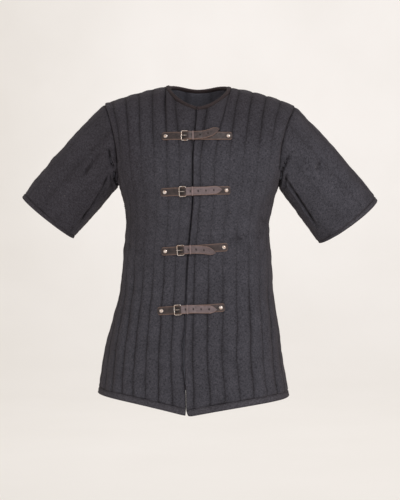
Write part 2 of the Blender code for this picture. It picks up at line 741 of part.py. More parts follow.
def make_closure(closure, skin, collection, cutters):
    line = StrapLine(closure, skin)
    number = closure.number
    _, bar, _, _ = leather_heights()
    slot = 2 * (PRONG + CLEAR) + 0.0008

    tongue = place_mesh(ribbon(line, f"tongue_{number}", *tongue_path(closure), LEATHER), collection)
    hole = line.matrix(closure.buckle + 0.0015, bar)
    cut(tongue, cutter_box(f"tongue_hole_{number}", hole, (0.0085, slot, 0.03), cutters))

    chape = place_mesh(ribbon(line, f"chape_{number}", *chape_path(closure, line.length), LEATHER), collection)
    notch = line.matrix(closure.buckle + FRAME_REACH - 0.001, bar)
    cut(chape, cutter_box(f"chape_slot_{number}", notch, (0.0095, slot, 0.03), cutters))

    buckle = wire(f"buckle_{number}", frame_points(line, closure), WIRE, True, collection)
    prong = wire(f"prong_{number}", prong_points(line, closure), PRONG, False, collection)
    keeper = place_mesh(keeper_mesh(line, closure), collection)
    top = LEATHER + CLEAR
    heads = [rivet(f"rivet_right_{number}", line.matrix(0.0, top), collection),
             rivet(f"rivet_left_{number}", line.matrix(line.length, top), collection)]

    for piece in (tongue, chape, keeper):
        dress(piece, STRAP)
    for piece in (buckle, prong):
        dress(piece, BUCKLE)
    for piece in heads:
        dress(piece, RIVET)


def main():
    clear_scene()
    collection = new_collection("gambeson")
    cutters = new_collection("cutters")
    skin = cloth_skin()
    make_cloth(skin, collection)
    for closure in CLOSURES:
        make_closure(closure, skin, collection, cutters)


main()
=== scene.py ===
"""Gambeson: a padded, quilted jacket with short sleeves, closed down the front by four buckled straps.

The cloth is one smooth skin, drawn from the same rules as the solid model. Each panel is its own stretch
of that skin with a padded wall behind it. Geometry Nodes press the quilting into the panels and lay the
stitches along it. Units are metres, +Z is up, the front faces -Y and the wearer's left is +X.
"""

import logging
import math
from collections import defaultdict
from dataclasses import dataclass, field
from enum import Enum
from functools import lru_cache, partial
from typing import Callable, ClassVar, NamedTuple, Sequence

import bmesh
import bpy
import numpy as np
from mathutils import Matrix, Vector
from mathutils.bvhtree import BVHTree
from mathutils.kdtree import KDTree


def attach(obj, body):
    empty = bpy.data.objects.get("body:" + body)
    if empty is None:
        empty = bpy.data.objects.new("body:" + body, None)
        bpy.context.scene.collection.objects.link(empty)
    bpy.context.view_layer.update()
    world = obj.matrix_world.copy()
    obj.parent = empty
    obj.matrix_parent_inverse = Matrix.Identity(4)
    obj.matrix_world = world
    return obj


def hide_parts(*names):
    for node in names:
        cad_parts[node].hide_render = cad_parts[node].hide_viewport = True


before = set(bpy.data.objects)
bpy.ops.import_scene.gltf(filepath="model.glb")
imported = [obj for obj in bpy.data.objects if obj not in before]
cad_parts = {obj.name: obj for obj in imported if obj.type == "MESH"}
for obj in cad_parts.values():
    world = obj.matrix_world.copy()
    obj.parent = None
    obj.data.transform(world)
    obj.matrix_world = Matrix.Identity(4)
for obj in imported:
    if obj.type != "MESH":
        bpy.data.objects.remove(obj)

LOG = logging.getLogger("gambeson")
BODY_NAME = "root"
SEED = 11

# ---------------------------------------------------------------- sizes shared with the solid model

WALL = 0.0076  # padded cloth, outer face to lining
SEAM_GAP = 0.0
OPENING_GAP = 0.0002
HEM_BAND = 0.016
CUFF_BAND = 0.012
NECK_BAND = 0.010
ROUNDNESS = 2.3
BACK_FIRST_LINE = 0.5  # channels from the middle to the right half's first line
STITCH_WOBBLE = 0.12  # how far a stitch turns from its line
BAND_EDGE = 0.008  # what a band takes to turn over its edge
CHEST_LINE = -0.200
BACK_HEM = -0.792
HEM_SWEEP = 1.25
NECK_OPENING = -0.004
NECK_FRONT = (0.0, -0.090, -0.063)
NECK_BACK = (0.0, 0.070, -0.0013)
NECK_BACK_STAND = 0.005
NECK_POINTED = 1.55
BAND_SPREAD = (1.0, 0.55, -0.55)
ARMHOLE_HOLLOW = 0.002
ARMHOLE_FLARE = 2.5
CUFF_HALF_DEPTH = 0.058
CHANNELS = 8.2  # channels round a quarter of the body above the waist
HEM_CHANNELS = 9.4  # and at the hem
NECK_CORNER = 2 / CHANNELS
ARM_CORNER = 0.80
FULL_TURN = 2 * math.pi

STRAP_WIDTH = 0.020
LEATHER = 0.0018
CLEAR = 0.0003
REST = 0.0005
WIRE = 0.0012
PRONG = 0.0008
PRONG_PAST = 0.0022
FRAME_REACH = 0.008
FRAME_HALF_HEIGHT = STRAP_WIDTH / 2 + CLEAR + WIRE + 0.0005
FRAME_CORNER = 0.0030
FOLD = 0.024
STRAP_END = 0.010
KEEPER_WIDTH, KEEPER_THICKNESS = 0.0034, 0.0010
RIVET_RADIUS, RIVET_HEIGHT = 0.0048, 0.0024
HOLE_PITCH = 0.0188
HOLE_RADIUS = 0.0017


class Section(NamedTuple):
    """An oval section of the body: half-widths, depths, and where the opening crosses it."""

    height: float
    right: float
    left: float
    front: float
    back: float
    opening: float


BODY = (
    Section(-0.850, 0.262, 0.240, 0.176, 0.168, -0.030),
    Section(-0.772, 0.253, 0.227, 0.169, 0.160, -0.030),
    Section(-0.673, 0.237, 0.211, 0.157, 0.147, -0.035),
    Section(-0.590, 0.217, 0.200, 0.146, 0.133, -0.032),
    Section(-0.525, 0.200, 0.190, 0.136, 0.119, -0.030),
    Section(-0.465, 0.193, 0.186, 0.129, 0.109, -0.028),
    Section(-0.397, 0.187, 0.181, 0.127, 0.105, -0.023),
    Section(-0.344, 0.183, 0.179, 0.129, 0.109, -0.018),
    Section(-0.293, 0.188, 0.188, 0.132, 0.114, -0.014),
    Section(-0.250, 0.201, 0.201, 0.132, 0.117, -0.014),
    Section(-0.200, 0.212, 0.212, 0.128, 0.118, -0.014),
    Section(-0.150, 0.222, 0.222, 0.121, 0.116, -0.014),
)


class Face(Enum):
    """The front or the back half of the jacket."""

    FRONT = "front"
    BACK = "back"

    @property
    def armhole_depth(self) -> float:
        """How deep the armhole reaches to this face, signed along +Y."""
        return -0.086 if self is Face.FRONT else 0.080

    @property
    def sign(self) -> int:
        """-1 to the front and 1 to the back."""
        return -1 if self is Face.FRONT else 1


class Metal(Enum):
    """The two metals of the fittings."""

    BUCKLE = "buckle_metal"
    RIVET = "rivet_metal"


# ---------------------------------------------------------------- small curves


Amount = float | np.ndarray
Colour = tuple[float, float, float, float]


def smooth(u: Amount) -> Amount:
    """0 to 1 with no slope at either end."""
    u = np.clip(u, 0.0, 1.0)
    return u * u * (3 - 2 * u)


def hermite(start: Amount, end: Amount, leave: Amount, arrive: Amount, u: Amount) -> Amount:
    """The cubic from start to end that leaves and arrives along the given vectors.

    Args:
        start, end: The two ends.
        leave, arrive: The slopes at the ends.
        u: Where to read it, from 0 to 1.

    Returns:
        The value or point at u.
    """
    return (
        start * (2 * u**3 - 3 * u**2 + 1)
        + end * (3 * u**2 - 2 * u**3)
        + leave * (u**3 - 2 * u**2 + u)
        + arrive * (u**3 - u**2)
    )


def power(value: Amount, exponent: float) -> Amount:
    """A power that keeps the sign of its base."""
    return np.sign(value) * np.abs(value) ** exponent


def spread(first: float, last: float, steps: int) -> list[float]:
    """Evenly spaced values, both ends included."""
    return [first + (last - first) * i / steps for i in range(steps + 1)]


@lru_cache(maxsize=4096)
def section_at(height: float) -> Section:
    """The body's section at a height, on smooth curves through the table.

    Args:
        height: The height.

    Returns:
        The section.
    """
    knots = np.array([row.height for row in BODY])
    i = int(np.clip(np.searchsorted(knots, height) - 1, 0, len(knots) - 2))
    span = knots[i + 1] - knots[i]
    u = (height - knots[i]) / span
    values = []
    for column in zip(*BODY):
        row = np.array(column)
        slopes = np.gradient(row, knots)
        values.append(float(hermite(row[i], row[i + 1], slopes[i] * span, slopes[i + 1] * span, u)))
    return Section(*values)


# ---------------------------------------------------------------- the form


@dataclass(frozen=True)
class Side:
    """One side of the jacket. Pairs are (distance out from the middle, height)."""

    name: str
    sign: int
    neck: tuple[float, float]
    tip: tuple[float, float]
    armpit: tuple[float, float]
    cuff_outer: tuple[float, float]
    cuff_inner: tuple[float, float]
    tilt: float
    hem: float
    front_hem: float
    swell: float
    crown: float
    first_line: float  # channels from the opening to the first line of stitches
    hem_corner: float  # how far the front's lower corner is rounded away from the opening

    def body(self, face: Face, fraction: float, height: float) -> np.ndarray:
        """Point a fraction of the way round a quarter of the body, from its middle to the side seam.

        Args:
            face: Front or back.
            fraction: How far round from the middle, from 0 to 1.
            height: The height.

        Returns:
            The point.
        """
        section = section_at(round(float(height), 9))
        start = section.opening + self.sign * OPENING_GAP / 2 if face is Face.FRONT else 0.0
        half_width = section.right if start < 0 else section.left
        first = np.arcsin(power(start / half_width, ROUNDNESS / 2))
        angles = np.linspace(first, self.sign * math.pi / 2, 97)
        widths = np.where(angles < 0, section.right, section.left)
        depth = -section.front if face is Face.FRONT else section.back
        x = widths * power(np.sin(angles), 2 / ROUNDNESS)
        y = depth * power(np.cos(angles), 2 / ROUNDNESS)
        run = np.concatenate([[0], np.cumsum(np.hypot(np.diff(x), np.diff(y)))])
        angle = np.interp(fraction * run[-1], run, angles)
        width = section.right if angle < 0 else section.left
        return np.array([width * power(np.sin(angle), 2 / ROUNDNESS),
                         depth * power(np.cos(angle), 2 / ROUNDNESS), height])

    def armhole(self, face: Face, angle: float) -> np.ndarray:
        """Point of the armhole. The angle is 0 at the shoulder tip and a half turn at the armpit.

        Args:
            face: Front or back.
            angle: The angle round the armhole.

        Returns:
            The point.
        """
        middle = (self.tip[1] + self.armpit[1]) / 2
        reach = (self.tip[1] - self.armpit[1]) / 2
        inner = self.armpit[0] - ARMHOLE_HOLLOW * math.sin(angle)
        x = inner + (self.tip[0] - inner) * ((1 + math.cos(angle)) / 2) ** ARMHOLE_FLARE
        return np.array([self.sign * x, face.armhole_depth * math.sin(angle),
                         middle + reach * math.cos(angle)])

    def corner_angle(self) -> float:
        """Angle at which the armhole crosses the chest line."""
        middle = (self.tip[1] + self.armpit[1]) / 2
        reach = (self.tip[1] - self.armpit[1]) / 2
        return math.acos((CHEST_LINE - middle) / reach)

    def underarm_angle(self, fraction: float) -> float:
        """Angle on the armhole that a column past the armhole's corner runs up to."""
        corner = self.corner_angle()
        return corner + (math.pi - corner) * (fraction - ARM_CORNER) / (1 - ARM_CORNER)

    def underarm_pull(self, face: Face, fraction: float) -> np.ndarray:
        """What moves the top of a column so that the body runs into the armhole.

        Args:
            face: Front or back.
            fraction: How far round from the middle, from 0 to 1.

        Returns:
            The move.
        """
        held = max(fraction, ARM_CORNER)
        target = self.armhole(face, self.underarm_angle(held))
        free = self.body(face, held, target[2])
        return (target - free) * smooth((fraction - 0.35) / (ARM_CORNER - 0.35))

    def lower(self, face: Face, fraction: float, rise: float) -> np.ndarray:
        """Point of the body below the chest line. The rise is 0 at the hem and 1 at the top.

        Args:
            face: Front or back.
            fraction: How far round from the middle, from 0 to 1.
            rise: How far up, from 0 to 1.

        Returns:
            The point.
        """
        middle = self.front_hem if face is Face.FRONT else BACK_HEM
        bottom = self.hem + (middle - self.hem) * (1 - math.sin(fraction * math.pi / 2)) ** HEM_SWEEP
        top = CHEST_LINE
        if fraction > ARM_CORNER:
            top = self.armhole(Face.FRONT, self.underarm_angle(fraction))[2]
        point = self.body(face, fraction, bottom + (top - bottom) * rise)
        return point + self.underarm_pull(face, fraction) * smooth((rise - 0.72) / 0.28)

    def neck_edge(self, face: Face, fraction: float, band: float) -> np.ndarray:
        """Point of the neck edge, or of the seam below it when band is its width.

        Args:
            face: Front or back.
            fraction: How far round from the middle, from 0 to 1.
            band: How far below the edge.

        Returns:
            The point.
        """
        across, height = self.neck
        first = 0.0
        if face is Face.FRONT:
            start = NECK_OPENING + self.sign * OPENING_GAP / 2
            first = math.asin(power(start / across, NECK_POINTED / 2))
        angle = first + (self.sign * math.pi / 2 - first) * fraction
        _, middle_y, middle_z = NECK_FRONT if face is Face.FRONT else NECK_BACK
        exponent = 2 / NECK_POINTED if face is Face.FRONT else 1.0
        ratio = power(math.sin(angle), exponent)
        drop = max(0.0, math.cos(angle)) ** exponent
        ahead = math.sqrt(max(0.0, 1 - ratio * ratio))
        stand = 0.0 if face is Face.FRONT else NECK_BACK_STAND * 4 * ratio**2 * (1 - ratio**2)
        edge = np.array([across * ratio, middle_y * ahead, height + (middle_z - height) * drop + stand])
        fall = 0.35 + 1.2 * (drop if face is Face.FRONT else ahead)
        out = np.array([BAND_SPREAD[0] * ratio, face.sign * BAND_SPREAD[1] * ahead, BAND_SPREAD[2] * fall])
        return edge + out / np.linalg.norm(out) * band

    def yoke_top(self, face: Face, fraction: float) -> np.ndarray:
        """Where a column above the chest line ends: on the neck seam or on the shoulder seam.

        Args:
            face: Front or back.
            fraction: How far round from the middle, from 0 to 1.

        Returns:
            The point.
        """
        if fraction <= NECK_CORNER:
            return self.neck_edge(face, fraction / NECK_CORNER, NECK_BAND)
        along = (fraction - NECK_CORNER) / (ARM_CORNER - NECK_CORNER)
        start = self.neck_edge(face, 1.0, NECK_BAND)
        end = np.array([self.sign * self.tip[0], 0.0, self.tip[1]])
        crown = np.array([0.0, 0.0, self.crown * math.sin(math.pi * along)])
        return start + (end - start) * along + crown

    def yoke_profile(self, face: Face, fraction: float, rise: float) -> np.ndarray:
        """A column above the chest line, before it is drawn to the armhole.

        Args:
            face: Front or back.
            fraction: How far round from the middle, from 0 to 1.
            rise: How far up, from 0 to 1.

        Returns:
            The point.
        """
        start = self.lower(face, fraction, 1.0)
        end = self.yoke_top(face, fraction)
        below = self.lower(face, fraction, 0.97)
        chord = np.linalg.norm(end - start)
        leave = (start - below) / np.linalg.norm(start - below) * chord
        turn = smooth(fraction / (NECK_CORNER * 1.3))
        back = -face.sign
        steep = np.array([0.0, 0.40 * back, 0.92])
        level = np.array([0.0, 1.0 * back, 0.16])
        arrive = (steep + (level - steep) * turn) * chord * (1.0 - 0.12 * turn)
        return hermite(start, end, leave, arrive, rise)

    def yoke(self, face: Face, fraction: float, rise: float) -> np.ndarray:
        """Point of the body above the chest line.

        Args:
            face: Front or back.
            fraction: How far round from the middle, from 0 to 1.
            rise: How far up, from 0 to 1.

        Returns:
            The point.
        """
        angle = self.corner_angle() * (1 - rise)
        pull = self.armhole(face, angle) - self.yoke_profile(face, ARM_CORNER, rise)
        reach = smooth((fraction - 0.35) / (ARM_CORNER - 0.35))
        return self.yoke_profile(face, fraction, rise) + pull * reach

    def cuff(self, face: Face, angle: float) -> np.ndarray:
        """Point of the cuff's edge, at the angle that it has on the armhole.

        Args:
            face: Front or back.
            angle: The angle round the armhole.

        Returns:
            The point.
        """
        outer = np.array([self.sign * self.cuff_outer[0], 0.0, self.cuff_outer[1]])
        inner = np.array([self.sign * self.cuff_inner[0], 0.0, self.cuff_inner[1]])
        across = (outer - inner) / 2
        down = np.array([across[2] * self.sign, 0.0, -across[0] * self.sign])
        down = down / np.linalg.norm(down)
        tilt = math.radians(self.tilt)
        centre = (outer + inner) / 2
        reach = np.linalg.norm(centre - self.armhole(Face.FRONT, 0.0))
        centre = centre + np.array([0.0, reach * math.sin(tilt), 0.0])
        ahead = np.array([0.0, -math.cos(tilt), 0.0]) + down * math.sin(tilt)
        return centre + across * math.cos(angle) - ahead * CUFF_HALF_DEPTH * math.sin(angle) * face.sign

    def sleeve(self, face: Face, angle: float, along: float) -> np.ndarray:
        """Point of the sleeve, from the armhole at 0 to the cuff at 1.

        Args:
            face: Front or back.
            angle: The angle round the armhole.
            along: How far down, from 0 to 1.

        Returns:
            The point.
        """
        start = self.armhole(face, angle)
        end = self.cuff(face, angle)
        up = np.array([self.sign * 0.75, 0.0, 0.66])
        swell = self.swell * max(0.0, math.cos(angle)) * math.sin(math.pi * along) ** 0.6
        return start + (end - start) * along + up * swell


RIGHT = Side("right", -1, neck=(0.073, 0.000), tip=(0.2366, -0.048), armpit=(0.201, -0.2555),
             cuff_outer=(0.449, -0.283), cuff_inner=(0.319, -0.388), tilt=4.0,
             hem=-0.776, front_hem=-0.815, swell=0.007, crown=0.004, first_line=0.0, hem_corner=0.0015)
LEFT = Side("left", 1, neck=(0.074, -0.003), tip=(0.244, -0.0550), armpit=(0.201, -0.258),
            cuff_outer=(0.461, -0.288), cuff_inner=(0.312, -0.3990), tilt=12.0,
            hem=-0.784, front_hem=-0.818, swell=0.006, crown=0.008, first_line=0.53, hem_corner=0.0050)
SIDES = (RIGHT, LEFT)


# ---------------------------------------------------------------- smooth surfaces through a few points


def hermite_weights(knots: np.ndarray, at: np.ndarray) -> tuple:
    """Where values lie among knots, and the weights of a cubic's two ends and two slopes.

    Args:
        knots: Rising values.
        at: The places to read.

    Returns:
        The interval's index, the two weights of the ends and the two of the slopes.
    """
    i = np.clip(np.searchsorted(knots, at, side="right") - 1, 0, len(knots) - 2)
    span = knots[i + 1] - knots[i]
    u = (at - knots[i]) / span
    rising = u * u * (3 - 2 * u)
    return i, (1 - rising, rising), ((u**3 - 2 * u**2 + u) * span, (u**3 - u**2) * span)


@dataclass(frozen=True)
class Cage:
    """A smooth surface through a coarse grid of points."""

    across: np.ndarray
    along: np.ndarray
    points: np.ndarray

    @classmethod
    def of(cls, place: Callable[[float, float], np.ndarray], across: Sequence[float],
           along: Sequence[float]) -> "Cage":
        """The cage whose points place(across, along) gives."""
        rows = [[place(float(u), float(v)) for u in across] for v in along]
        return cls(np.array(across), np.array(along), np.array(rows))

    def read(self, u: np.ndarray, v: np.ndarray) -> np.ndarray:
        """The surface's points at places across and along it.

        Args:
            u: Places across.
            v: Places along.

        Returns:
            The points.
        """
        slopes_u = np.gradient(self.points, self.across, axis=1, edge_order=2)
        slopes_v = np.gradient(self.points, self.along, axis=0, edge_order=2)
        twist = np.gradient(slopes_u, self.along, axis=0, edge_order=2)
        i, ends_u, bends_u = hermite_weights(self.across, u)
        j, ends_v, bends_v = hermite_weights(self.along, v)
        total = np.zeros(u.shape + (3,))
        for a in (0, 1):
            for b in (0, 1):
                here = (j + b, i + a)
                total += (ends_u[a] * ends_v[b])[..., None] * self.points[here]
                total += (bends_u[a] * ends_v[b])[..., None] * slopes_u[here]
                total += (ends_u[a] * bends_v[b])[..., None] * slopes_v[here]
                total += (bends_u[a] * bends_v[b])[..., None] * twist[here]
        return total


@dataclass(frozen=True)
class Patchwork:
    """Cages side by side, free to crease where they meet."""

    cages: tuple[Cage, ...]

    def read(self, u: np.ndarray, v: np.ndarray) -> np.ndarray:
        """The points at places across and along the patchwork.

        Args:
            u: Places across.
            v: Places along.

        Returns:
            The points.
        """
        out = np.zeros(u.shape + (3,))
        for cage in self.cages:
            low, high = cage.across[0], cage.across[-1]
            held = (u >= low - 1e-9) & (u <= high + 1e-9)
            out[held] = cage.read(np.clip(u[held], low, high), v[held])
        return out


@dataclass(frozen=True)
class Unevenness:
    """Soft, seeded noise in space, as a sum of waves."""

    shortest: float
    longest: float
    waves: int
    seed: int

    def at(self, points: np.ndarray) -> np.ndarray:
        """The noise at points, of about unit size.

        Args:
            points: The points.

        Returns:
            A value for each point.
        """
        rng = np.random.default_rng(self.seed)
        ways = rng.normal(size=(self.waves, 3))
        ways /= np.linalg.norm(ways, axis=1, keepdims=True)
        lengths = rng.uniform(self.shortest, self.longest, self.waves)
        phases = rng.uniform(0, FULL_TURN, self.waves)
        total = np.zeros(points.shape[:-1])
        for way, length, phase in zip(ways, lengths, phases):
            total += np.cos(points @ way * FULL_TURN / length + phase)
        return total * math.sqrt(2 / self.waves)


@dataclass(frozen=True)
class Crease:
    """A handmade fold or seam in the cloth, along a line in the front view."""

    panels: tuple[str, ...]
    line: tuple[tuple[float, float], ...]
    width: float
    depth: float
    ridge: float = 0.0

    def at(self, points: np.ndarray) -> np.ndarray:
        """How far the crease moves each point outwards.

        Args:
            points: The points.

        Returns:
            A value for each point.
        """
        flat = points[..., (0, 2)]
        nearest = np.full(flat.shape[:-1], 1e9)
        fade = np.zeros(flat.shape[:-1])
        count = len(self.line) - 1
        for i in range(count):
            a, b = np.array(self.line[i]), np.array(self.line[i + 1])
            t = np.clip(((flat - a) @ (b - a)) / ((b - a) @ (b - a)), 0, 1)
            away = np.linalg.norm(flat - (a + (b - a) * t[..., None]), axis=-1)
            closer = away < nearest
            nearest = np.where(closer, away, nearest)
            run = (i + t) / count
            fade = np.where(closer, np.clip(np.minimum(run, 1 - run) * 5 + 0.15, 0, 1), fade)
        dip = np.exp(-((nearest / self.width) ** 2))
        rim = np.exp(-(((nearest - 2.1 * self.width) / self.width) ** 2))
        return (self.ridge * rim - self.depth * dip) * fade * (points[..., 1] < 0.03)


SLEEVED = {"right": ("front_right", "sleeve_right"), "left": ("front_left", "sleeve_left")}
CREASES = (
    Crease(SLEEVED["right"], ((-0.2205, -0.163), (-0.2198, -0.185), (-0.2160, -0.200), (-0.2085, -0.213)),
           0.0028, 0.0075, 0.0030),
    Crease(SLEEVED["right"], ((-0.2064, -0.222), (-0.2088, -0.243), (-0.1990, -0.257)),
           0.0028, 0.0075, 0.0020),
    Crease(SLEEVED["right"], ((-0.2175, -0.229), (-0.2150, -0.263)), 0.0030, 0.0035, 0.0015),
    Crease(SLEEVED["right"], ((-0.2300, -0.255), (-0.2400, -0.283)), 0.0035, 0.0030, 0.0015),
    Crease(SLEEVED["left"], ((0.2265, -0.181), (0.2140, -0.207), (0.2065, -0.226), (0.2010, -0.257)),
           0.0028, 0.0070, 0.0028),
    Crease(SLEEVED["left"], ((0.2190, -0.222), (0.2150, -0.262)), 0.0030, 0.0038, 0.0015),
    Crease(("front_right",), ((-0.190, -0.515), (-0.145, -0.5135), (-0.091, -0.514)), 0.0020, 0.0015),
    Crease(("front_left",), ((0.0864, -0.387), (0.130, -0.389), (0.171, -0.388)), 0.0020, 0.0016),
    Crease(("front_left",), ((0.106, -0.374), (0.118, -0.389)), 0.0020, 0.0016, 0.0006),
    Crease(("front_left",), ((0.1107, -0.2518), (0.150, -0.255), (0.188, -0.2615)), 0.0020, 0.0014),
    Crease(("sleeve_right",), ((-0.219, -0.224), (-0.240, -0.264), (-0.262, -0.300), (-0.3080, -0.363)),
           0.0026, 0.0042, 0.0018),
    Crease(("sleeve_left",), ((0.2138, -0.236), (0.258, -0.298), (0.3000, -0.357)), 0.0026, 0.0042, 0.0018),
    Crease(("sleeve_left",), ((0.3038, -0.192), (0.3013, -0.2295)), 0.0050, 0.0024, 0.0010),
    Crease(("sleeve_right",), ((-0.237, -0.165), (-0.262, -0.202), (-0.292, -0.237)), 0.0055, 0.0026, 0.0016),
    Crease(("sleeve_left",), ((0.240, -0.160), (0.262, -0.196), (0.278, -0.235)), 0.0055, 0.0022, 0.0014),
    Crease(("front_right",), ((-0.186, -0.395), (-0.150, -0.420), (-0.120, -0.428)), 0.0090, 0.0018, 0.0010),
    Crease(("front_left",), ((0.180, -0.350), (0.150, -0.335), (0.118, -0.330)), 0.0090, 0.0018, 0.0010),
)


# ---------------------------------------------------------------- the fine cloth


@dataclass
class Grid:
    """A fine grid of cloth points in one panel, with what the quilting needs at each point."""

    panel: str
    points: np.ndarray
    channel: np.ndarray
    depth: np.ndarray
    flat: np.ndarray
    inside: tuple[float, float, float]
    lines: bool = True
    first: int = 0


def line_strengths(count: int, seed: int) -> np.ndarray:
    """How firmly each line of quilting is pulled, uneven as handwork is."""
    return np.random.default_rng(seed).uniform(0.72, 1.22, count)


@dataclass(frozen=True)
class Quarter:
    """A front or back half of one side of the body, as fine grids."""

    side: Side
    face: Face
    body_rows: int = 122
    band_rows: int = 6
    yoke_rows: int = 40
    under_columns: int = 34
    neck_rows: int = 6
    WAVER: ClassVar[float] = 0.020  # how far a line of quilting strays, in channels

    @property
    def panel(self) -> str:
        """The panel that this quarter belongs to."""
        return f"front_{self.side.name}" if self.face is Face.FRONT else "back"

    @property
    def phase(self) -> float:
        """Where the first line of quilting lies, in channels from the middle."""
        middle_back = self.face is Face.BACK and self.side is RIGHT
        return BACK_FIRST_LINE if middle_back else self.side.first_line

    def columns(self) -> np.ndarray:
        """Columns in channels, close together at the lines of both faces and even between them."""
        steps = np.array([0.0, 0.035, 0.08, 0.15, 0.25, 0.35, 0.42, 0.465])
        corner = ARM_CORNER * CHANNELS
        places = [k / 2 + self.side.first_line + s for k in range(-2, 15) for s in steps]
        breaks = [0.0, NECK_CORNER * CHANNELS, corner]
        kept = [c for c in places if 0 < c < corner and min(abs(c - b) for b in breaks) > 0.02]
        return np.array(sorted(kept + breaks))

    def strength(self, channel: np.ndarray, points: np.ndarray) -> np.ndarray:
        """How deep each point's nearest line of quilting is sewn in.

        Args:
            channel: Places in channels, whole at the lines.
            points: The same places in space.

        Returns:
            Depths in metres.
        """
        height = points[..., 2]
        shoulder = smooth((height + 0.21) / 0.13)
        skirt = smooth((-0.40 - height) / 0.16)
        flattest = 0.0007 if self.side is RIGHT else 0.0004
        base = flattest + 0.0028 * shoulder + 0.0019 * skirt
        base = base + 0.0010 * np.exp(-np.maximum(channel, 0) / 1.4)
        factors = line_strengths(16, SEED + 3 * self.side.sign + 7 * self.face.sign)
        return base * factors[np.clip(np.round(channel).astype(int) + 1, 0, 15)]

    def part_opening(self, points: np.ndarray) -> np.ndarray:
        """Draws a front's edge back from the opening, and rounds its lower corner to leave a notch.

        Args:
            points: The points.

        Returns:
            The moved points.
        """
        if self.face is Face.BACK:
            return points
        points = points.copy()
        height = points[..., 2]
        openings = [section_at(round(float(z), 4)).opening for z in height.reshape(-1)]
        middle = np.array(openings).reshape(height.shape)
        away = np.abs(points[..., 0] - middle)
        parted = 0.0011 * smooth((height + 0.775) / 0.10) * smooth((-0.10 - height) / 0.05)
        low = np.clip((self.side.front_hem + 0.020 - height) / 0.020, 0, 1) ** 1.6
        points[..., 0] += self.side.sign * parted * np.exp(-away / 0.008)
        points[..., 0] += self.side.sign * self.side.hem_corner * low * np.exp(-away / 0.020)
        points[..., 2] += self.side.hem_corner * 0.8 * low * np.exp(-away / 0.006)
        return points

    def grids(self) -> tuple[list[Grid], np.ndarray, np.ndarray]:
        """The quarter's grids, and the armhole's points and angles from the shoulder tip to the armpit."""
        side, face = self.side, self.face
        corner = ARM_CORNER * CHANNELS
        columns = self.columns()

        def lower(u: float, v: float) -> np.ndarray:
            """The body below the chest line."""
            return side.lower(face, u, v)

        def yoke(u: float, v: float) -> np.ndarray:
            """The body above it."""
            return side.yoke(face, u, v)

        rises = spread(0, 1, 38)
        body = Patchwork((Cage.of(lower, spread(0, ARM_CORNER, 18), rises),
                          Cage.of(lower, spread(ARM_CORNER, 1, 8), rises)))
        upper = Patchwork((Cage.of(yoke, spread(0, NECK_CORNER, 8), spread(0, 1, 14)),
                           Cage.of(yoke, spread(NECK_CORNER, ARM_CORNER, 12), spread(0, 1, 14))))
        band = HEM_BAND / (CHEST_LINE - BACK_HEM)
        rise = np.array(spread(0, band, self.band_rows) + spread(band, 1, self.body_rows)[1:])[:, None]
        count = CHANNELS + (HEM_CHANNELS - CHANNELS) * smooth((0.62 - rise) / 0.62)
        aligned = columns[None, :] / count
        last = corner / count
        steps = np.array(spread(0, 1, self.under_columns)[1:])[None, :]
        fraction = np.clip(np.concatenate([aligned, last + (1 - last) * steps], axis=1), 0, 1)
        points = self.part_opening(body.read(fraction, np.broadcast_to(rise, fraction.shape)))
        waver = Unevenness(0.05, 0.16, 14, SEED + 5)
        channel = fraction * count - self.phase + self.WAVER * waver.at(points)
        flat = np.stack([side.sign * fraction * count * 0.032,
                         np.broadcast_to((rise - 1) * 0.6, fraction.shape)], axis=-1)
        depth = self.strength(channel, points)
        made = self.band_rows
        inside = (0.0, 0.0, -0.30)
        grids = [Grid("hem_band", points[:made + 1], channel[:made + 1], depth[:made + 1] * 0.12,
                      flat[:made + 1], inside, lines=False),
                 Grid(self.panel, points[made:], channel[made:], depth[made:], flat[made:], inside)]

        high = np.array(spread(0, 1, self.yoke_rows))[:, None]
        part = np.broadcast_to(columns[None, :] / CHANNELS, (self.yoke_rows + 1, len(columns)))
        top = self.part_opening(upper.read(part, np.broadcast_to(high, part.shape)))
        top[0] = points[-1, :len(columns)]
        above = part * CHANNELS - self.phase + self.WAVER * waver.at(top)
        flat_top = np.stack([side.sign * part * CHANNELS * 0.032,
                             np.broadcast_to(high * 0.17, part.shape)], axis=-1)
        grids.append(Grid(self.panel, top, above, self.strength(above, top), flat_top, (0.0, 0.0, -0.20)))

        neck_columns = columns[columns <= NECK_CORNER * CHANNELS + 1e-9] / CHANNELS / NECK_CORNER
        widths = np.array(spread(NECK_BAND, 0, self.neck_rows))
        edge = Cage.of(lambda u, v: side.neck_edge(face, u, NECK_BAND * (1 - v)),
                       spread(0, 1, 16), (0.0, 0.5, 1.0))
        u = np.broadcast_to(neck_columns[None, :], (len(widths), len(neck_columns)))
        v = np.broadcast_to(1 - widths[:, None] / NECK_BAND, u.shape)
        neck = edge.read(u, v)
        neck[0] = top[-1, :neck.shape[1]]
        flat_neck = np.stack([side.sign * u * 0.07, v * NECK_BAND], axis=-1)
        zeros = np.zeros(u.shape)
        grids.append(Grid("neck_binding", neck, zeros + 0.5, zeros, flat_neck, (0.0, 0.0, -0.10),
                          lines=False))

        under = points[-1, len(columns):]
        angles = [side.corner_angle() * (1 - r) for r in spread(1, 0, self.yoke_rows)]
        angles += [side.underarm_angle(f) for f in fraction[-1, len(columns):]]
        armhole = np.concatenate([top[::-1, -1], under])
        return grids, armhole, np.array(angles)

